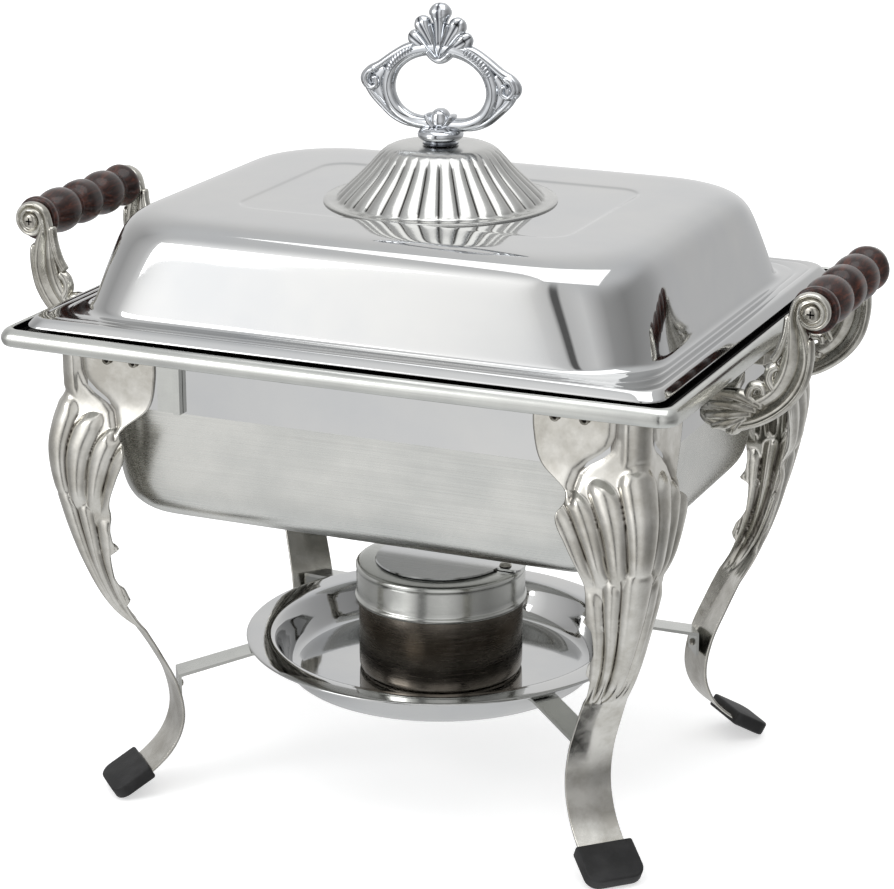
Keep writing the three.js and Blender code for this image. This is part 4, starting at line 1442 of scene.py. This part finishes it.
@dataclass(frozen=True)
class FuelHolder:
    """The fuel cup, its beaded cover and the snuffer disc that swings on a pin."""

    radius: float = 44.2
    floor: float = 55.3
    cup_top: float = 112.8
    cover_radius: float = 45.9
    cover_low: float = 96.0
    cover_top: float = 116.4
    port_radius: float = 31.0
    disc_radius: float = 35.2

    def build(self, finish: Finishes) -> None:
        """Builds the cup, cover and disc.

        Args:
            finish: The finishes.
        """
        floor, radius = self.floor, self.radius
        cup = [
            (0, floor), (30, floor), (radius - 3.4, floor), (radius - 1.2, floor + 0.8),
            (radius - 0.2, floor + 2.6), (radius, floor + 5), (radius, 80), (radius, self.cup_top - 0.4),
            (radius, self.cup_top),
        ]
        bm = spun(cup, 64)
        outwards(bm, Vector((0, 0, 85)))
        make_piece(bm, "brushed_fuel_cup", Look(finish.cup, Slot.CUP, "fuel_holder", 180, 1, 1.0), "fuel_cup")
        low, top, wide = self.cover_low, self.cover_top, self.cover_radius
        cover = [
            (wide - 0.5, low), (wide + 0.3, low + 0.4), (wide + 0.6, low + 1.5), (wide + 0.3, low + 2.6),
            (wide - 0.5, low + 3.1), (wide - 0.5, low + 4), (wide - 0.4, top - 5.4),
            (wide - 0.4, top - 3.4), (wide + 0.1, top - 2.4), (wide - 0.3, top - 0.9),
            (wide - 1.4, top - 0.1), (wide - 2.6, top), (37, top), (self.port_radius + 0.3, top),
            (self.port_radius, top - 0.2),
        ]
        bm = spun(cover, 64)
        outwards(bm, Vector((0, 0, 90)))
        look = Look(finish.satin, Slot.POLISHED, "fuel_cover", 180, 1, 0.7)
        make_piece(bm, "beaded_fuel_cover", look, "fuel_cover")
        self.build_disc(finish)

    def build_disc(self, finish: Finishes) -> None:
        """Builds the snuffer disc with its tab.

        Args:
            finish: The finishes.
        """
        low, high = (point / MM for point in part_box("snuffer_disc"))
        radius = self.disc_radius
        chamfer = radius - 0.4
        profile = [(0, low.z), (chamfer, low.z), (radius, low.z + 0.5), (chamfer, high.z), (0, high.z)]
        bm = spun(profile, 72)
        tab = bmesh.ops.create_cube(bm, size=1.0)["verts"]
        bmesh.ops.scale(bm, vec=(15, 10, high.z - low.z - 0.1), verts=tab)
        bmesh.ops.translate(bm, vec=(high.x - 7.5, 0, (low.z + high.z) / 2), verts=tab)
        upright = [
            edge for edge in {edge for vert in tab for edge in vert.link_edges}
            if abs(edge.verts[0].co.z - edge.verts[1].co.z) > 0.5 and edge.verts[0].co.x > high.x - 1
        ]
        round_edges(bm, upright, 3.0, 5)
        look = Look(finish.mirror, Slot.POLISHED, "snuffer", 40)
        make_piece(bm, "snuffer_cover_disc", look, "snuffer_disc")


# ---------------------------------------------------------------- studio


@dataclass(frozen=True)
class Studio:
    """A pale floor, a soft tent of light with dark gaps in it, and the camera."""

    camera_at: tuple[float, float, float] = (588.2, -1338.3, 644.4)
    look_at: tuple[float, float, float] = (3.0, 1.3, 180.7)
    lens: float = 116.53
    roll_deg: float = 0.0

    def build_camera(self) -> None:
        """Sets up the camera."""
        data = bpy.data.cameras.new("camera")
        data.lens = self.lens
        data.sensor_width = 36.0
        camera = bpy.data.objects.new("camera", data)
        start, target = Vector(self.camera_at) * MM, Vector(self.look_at) * MM
        aim = (target - start).to_track_quat("-Z", "Y").to_matrix().to_4x4()
        roll = Matrix.Rotation(math.radians(self.roll_deg), 4, "Z")
        camera.matrix_world = Matrix.Translation(start) @ aim @ roll
        bpy.context.scene.collection.objects.link(camera)
        bpy.context.scene.camera = camera

    def build_floor(self) -> None:
        """Builds the pale floor."""
        material, tree, where = new_material("white_paper_sweep")
        fibre = noise(tree, where, 40.0, Detail=2.0)
        tint = ramp(tree, fibre, [(0.3, linear("f2f2f2")), (0.7, linear("f6f6f6"))])
        shader = wire(
            tree, "ShaderNodeBsdfPrincipled", Base_Color=tint, Roughness=0.9,
            Emission_Color=(1, 1, 1, 1), Emission_Strength=0.5,
        )
        wire(tree, "ShaderNodeOutputMaterial", Surface=shader.outputs["BSDF"])
        bm = bmesh.new()
        bmesh.ops.create_grid(bm, x_segments=4, y_segments=4, size=9.0)
        mesh = bpy.data.meshes.new("floor")
        bm.to_mesh(mesh)
        bm.free()
        mesh.materials.append(material)
        floor = bpy.data.objects.new("floor", mesh)
        floor.location.z = -0.0005
        floor.visible_glossy = False
        bpy.context.scene.collection.objects.link(floor)

    def build_tent(self) -> None:
        """Builds the world: light that changes with its bearing and its height."""
        world = bpy.data.worlds.new("studio_tent")
        world.use_nodes = True
        tree = world.node_tree
        tree.nodes.clear()
        where = wire(tree, "ShaderNodeTexCoord").outputs["Generated"]
        parts = wire(tree, "ShaderNodeSeparateXYZ", Vector=where)
        bearing = wire(
            tree, "ShaderNodeMath", {"operation": "ARCTAN2"}, i0=parts.outputs["Y"], i1=parts.outputs["X"]
        )
        share = wire(
            tree, "ShaderNodeMapRange", Value=bearing.outputs["Value"], From_Min=-math.pi, From_Max=math.pi,
            To_Min=0.0, To_Max=1.0,
        )
        # Bearings in degrees from +X, from -180 round to 180, and how light the tent is there.
        upper = self.band(tree, share.outputs["Result"], (
            (-180, 0.5), (-150, 0.8), (-127, 1.5), (-119, 1.75), (-113, 1.5), (-108, 0.98), (-101, 0.85),
            (-97, 0.15), (-90, 0.15), (-86, 0.8), (-60, 0.95), (-30, 0.45), (0, 0.35), (40, 0.5),
            (66, 0.68), (90, 0.85), (113, 0.92), (150, 0.65), (180, 0.5),
        ))
        lower = self.band(tree, share.outputs["Result"], (
            (-180, 0.4), (-150, 0.5), (-124, 0.8), (-117, 1.05), (-111, 1.1), (-106, 0.85), (-100, 0.7),
            (-96, 0.2), (-88, 0.2), (-84, 0.7), (-60, 0.8), (-30, 0.35), (0, 0.25), (40, 0.45), (66, 0.7),
            (90, 0.6), (113, 0.6), (150, 0.45), (180, 0.4),
        ))
        above = wire(
            tree, "ShaderNodeMapRange", {"interpolation_type": "SMOOTHSTEP"}, Value=parts.outputs["Z"],
            From_Min=-0.22, From_Max=0.02, To_Min=0.0, To_Max=1.0,
        )
        sides = wire(
            tree, "ShaderNodeMix", {"data_type": "RGBA"}, i0=above.outputs["Result"], i6=lower, i7=upper
        )
        steep = wire(tree, "ShaderNodeMath", {"operation": "ABSOLUTE"}, i0=parts.outputs["Z"])
        lift = wire(
            tree, "ShaderNodeMapRange", {"interpolation_type": "SMOOTHSTEP"}, Value=steep.outputs["Value"],
            From_Min=0.5, From_Max=0.9, To_Min=0.0, To_Max=1.0,
        )
        tent = wire(
            tree, "ShaderNodeMix", {"data_type": "RGBA"}, i0=lift.outputs["Result"], i6=sides.outputs[2],
            i7=(0.42, 0.425, 0.43, 1),
        )
        sky = wire(tree, "ShaderNodeBackground", Color=tent.outputs[2], Strength=2.0)
        wire(tree, "ShaderNodeOutputWorld", Surface=sky.outputs["Background"])
        bpy.context.scene.world = world

    @staticmethod
    def band(tree: bpy.types.NodeTree, share: Socket, stops: Sequence[Point]) -> Socket:
        """Adds a band of the tent.

        Args:
            tree: The world's node tree.
            share: The bearing as a share of the round.
            stops: Bearings in degrees and the light there, at half its strength.

        Returns:
            The band's colour.
        """
        greys = [((at + 180) / 360, (light / 2, light / 2, light / 2, 1)) for at, light in stops]
        return ramp(tree, share, greys)

    def build_lights(self) -> None:
        """Hangs two soft boxes."""
        boxes = (
            ("overhead_box", (0.1, -0.2, 1.7), (0, 0, 0.2), 1.4, 9.0),
            ("front_box", (-1.5, -1.9, 1.3), (0, 0, 0.2), 1.0, 12.0),
        )
        for name, place, target, size, power in boxes:
            data = bpy.data.lights.new(name, "AREA")
            data.shape = "SQUARE"
            data.size = size
            data.energy = power
            light = bpy.data.objects.new(name, data)
            aim = (Vector(target) - Vector(place)).to_track_quat("-Z", "Y").to_matrix().to_4x4()
            light.matrix_world = Matrix.Translation(Vector(place)) @ aim
            bpy.context.scene.collection.objects.link(light)

    def build(self) -> None:
        """Builds the studio."""
        self.build_camera()
        self.build_floor()
        self.build_tent()
        self.build_lights()
        bpy.context.scene.view_settings.view_transform = "Standard"


def dress_frame(frame: dict, finish: Finishes) -> None:
    """Finishes the frame's own nodes that stay in view.

    Args:
        frame: The loaded frame.
        finish: The finishes.
    """
    for side in ("front", "back", "left", "right"):
        dress_node(frame, f"apron_{side}", finish.mirror)
    for side in ("front", "back"):
        dress_node(frame, f"apron_strap_{side}", finish.satin)
    for corner in Corner:
        dress_node(frame, f"brace_{corner.tag}", finish.satin)
        dress_node(frame, f"brace_rivet_{corner.tag}", finish.fastener)
    for node in ("lid_screw", "lid_washer", "snuffer_pivot"):
        dress_node(frame, node, finish.fastener)


def main() -> None:
    """Builds the dish and its studio around the frame."""
    logging.basicConfig(level=logging.INFO, format="%(name)s: %(message)s")
    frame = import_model()
    Studio().build()
    finish = Finishes()
    dress_frame(frame, finish)
    FrameRim().build(finish)
    Leg().build(finish)
    FootCap().build(finish)
    Rivets().build(finish)
    BurnerTray().build(finish)
    SideHandle().build(finish)
    Pans().build(finish)
    Lid().build(finish)
    FuelHolder().build(finish)


if __name__ == "__main__":
    main()
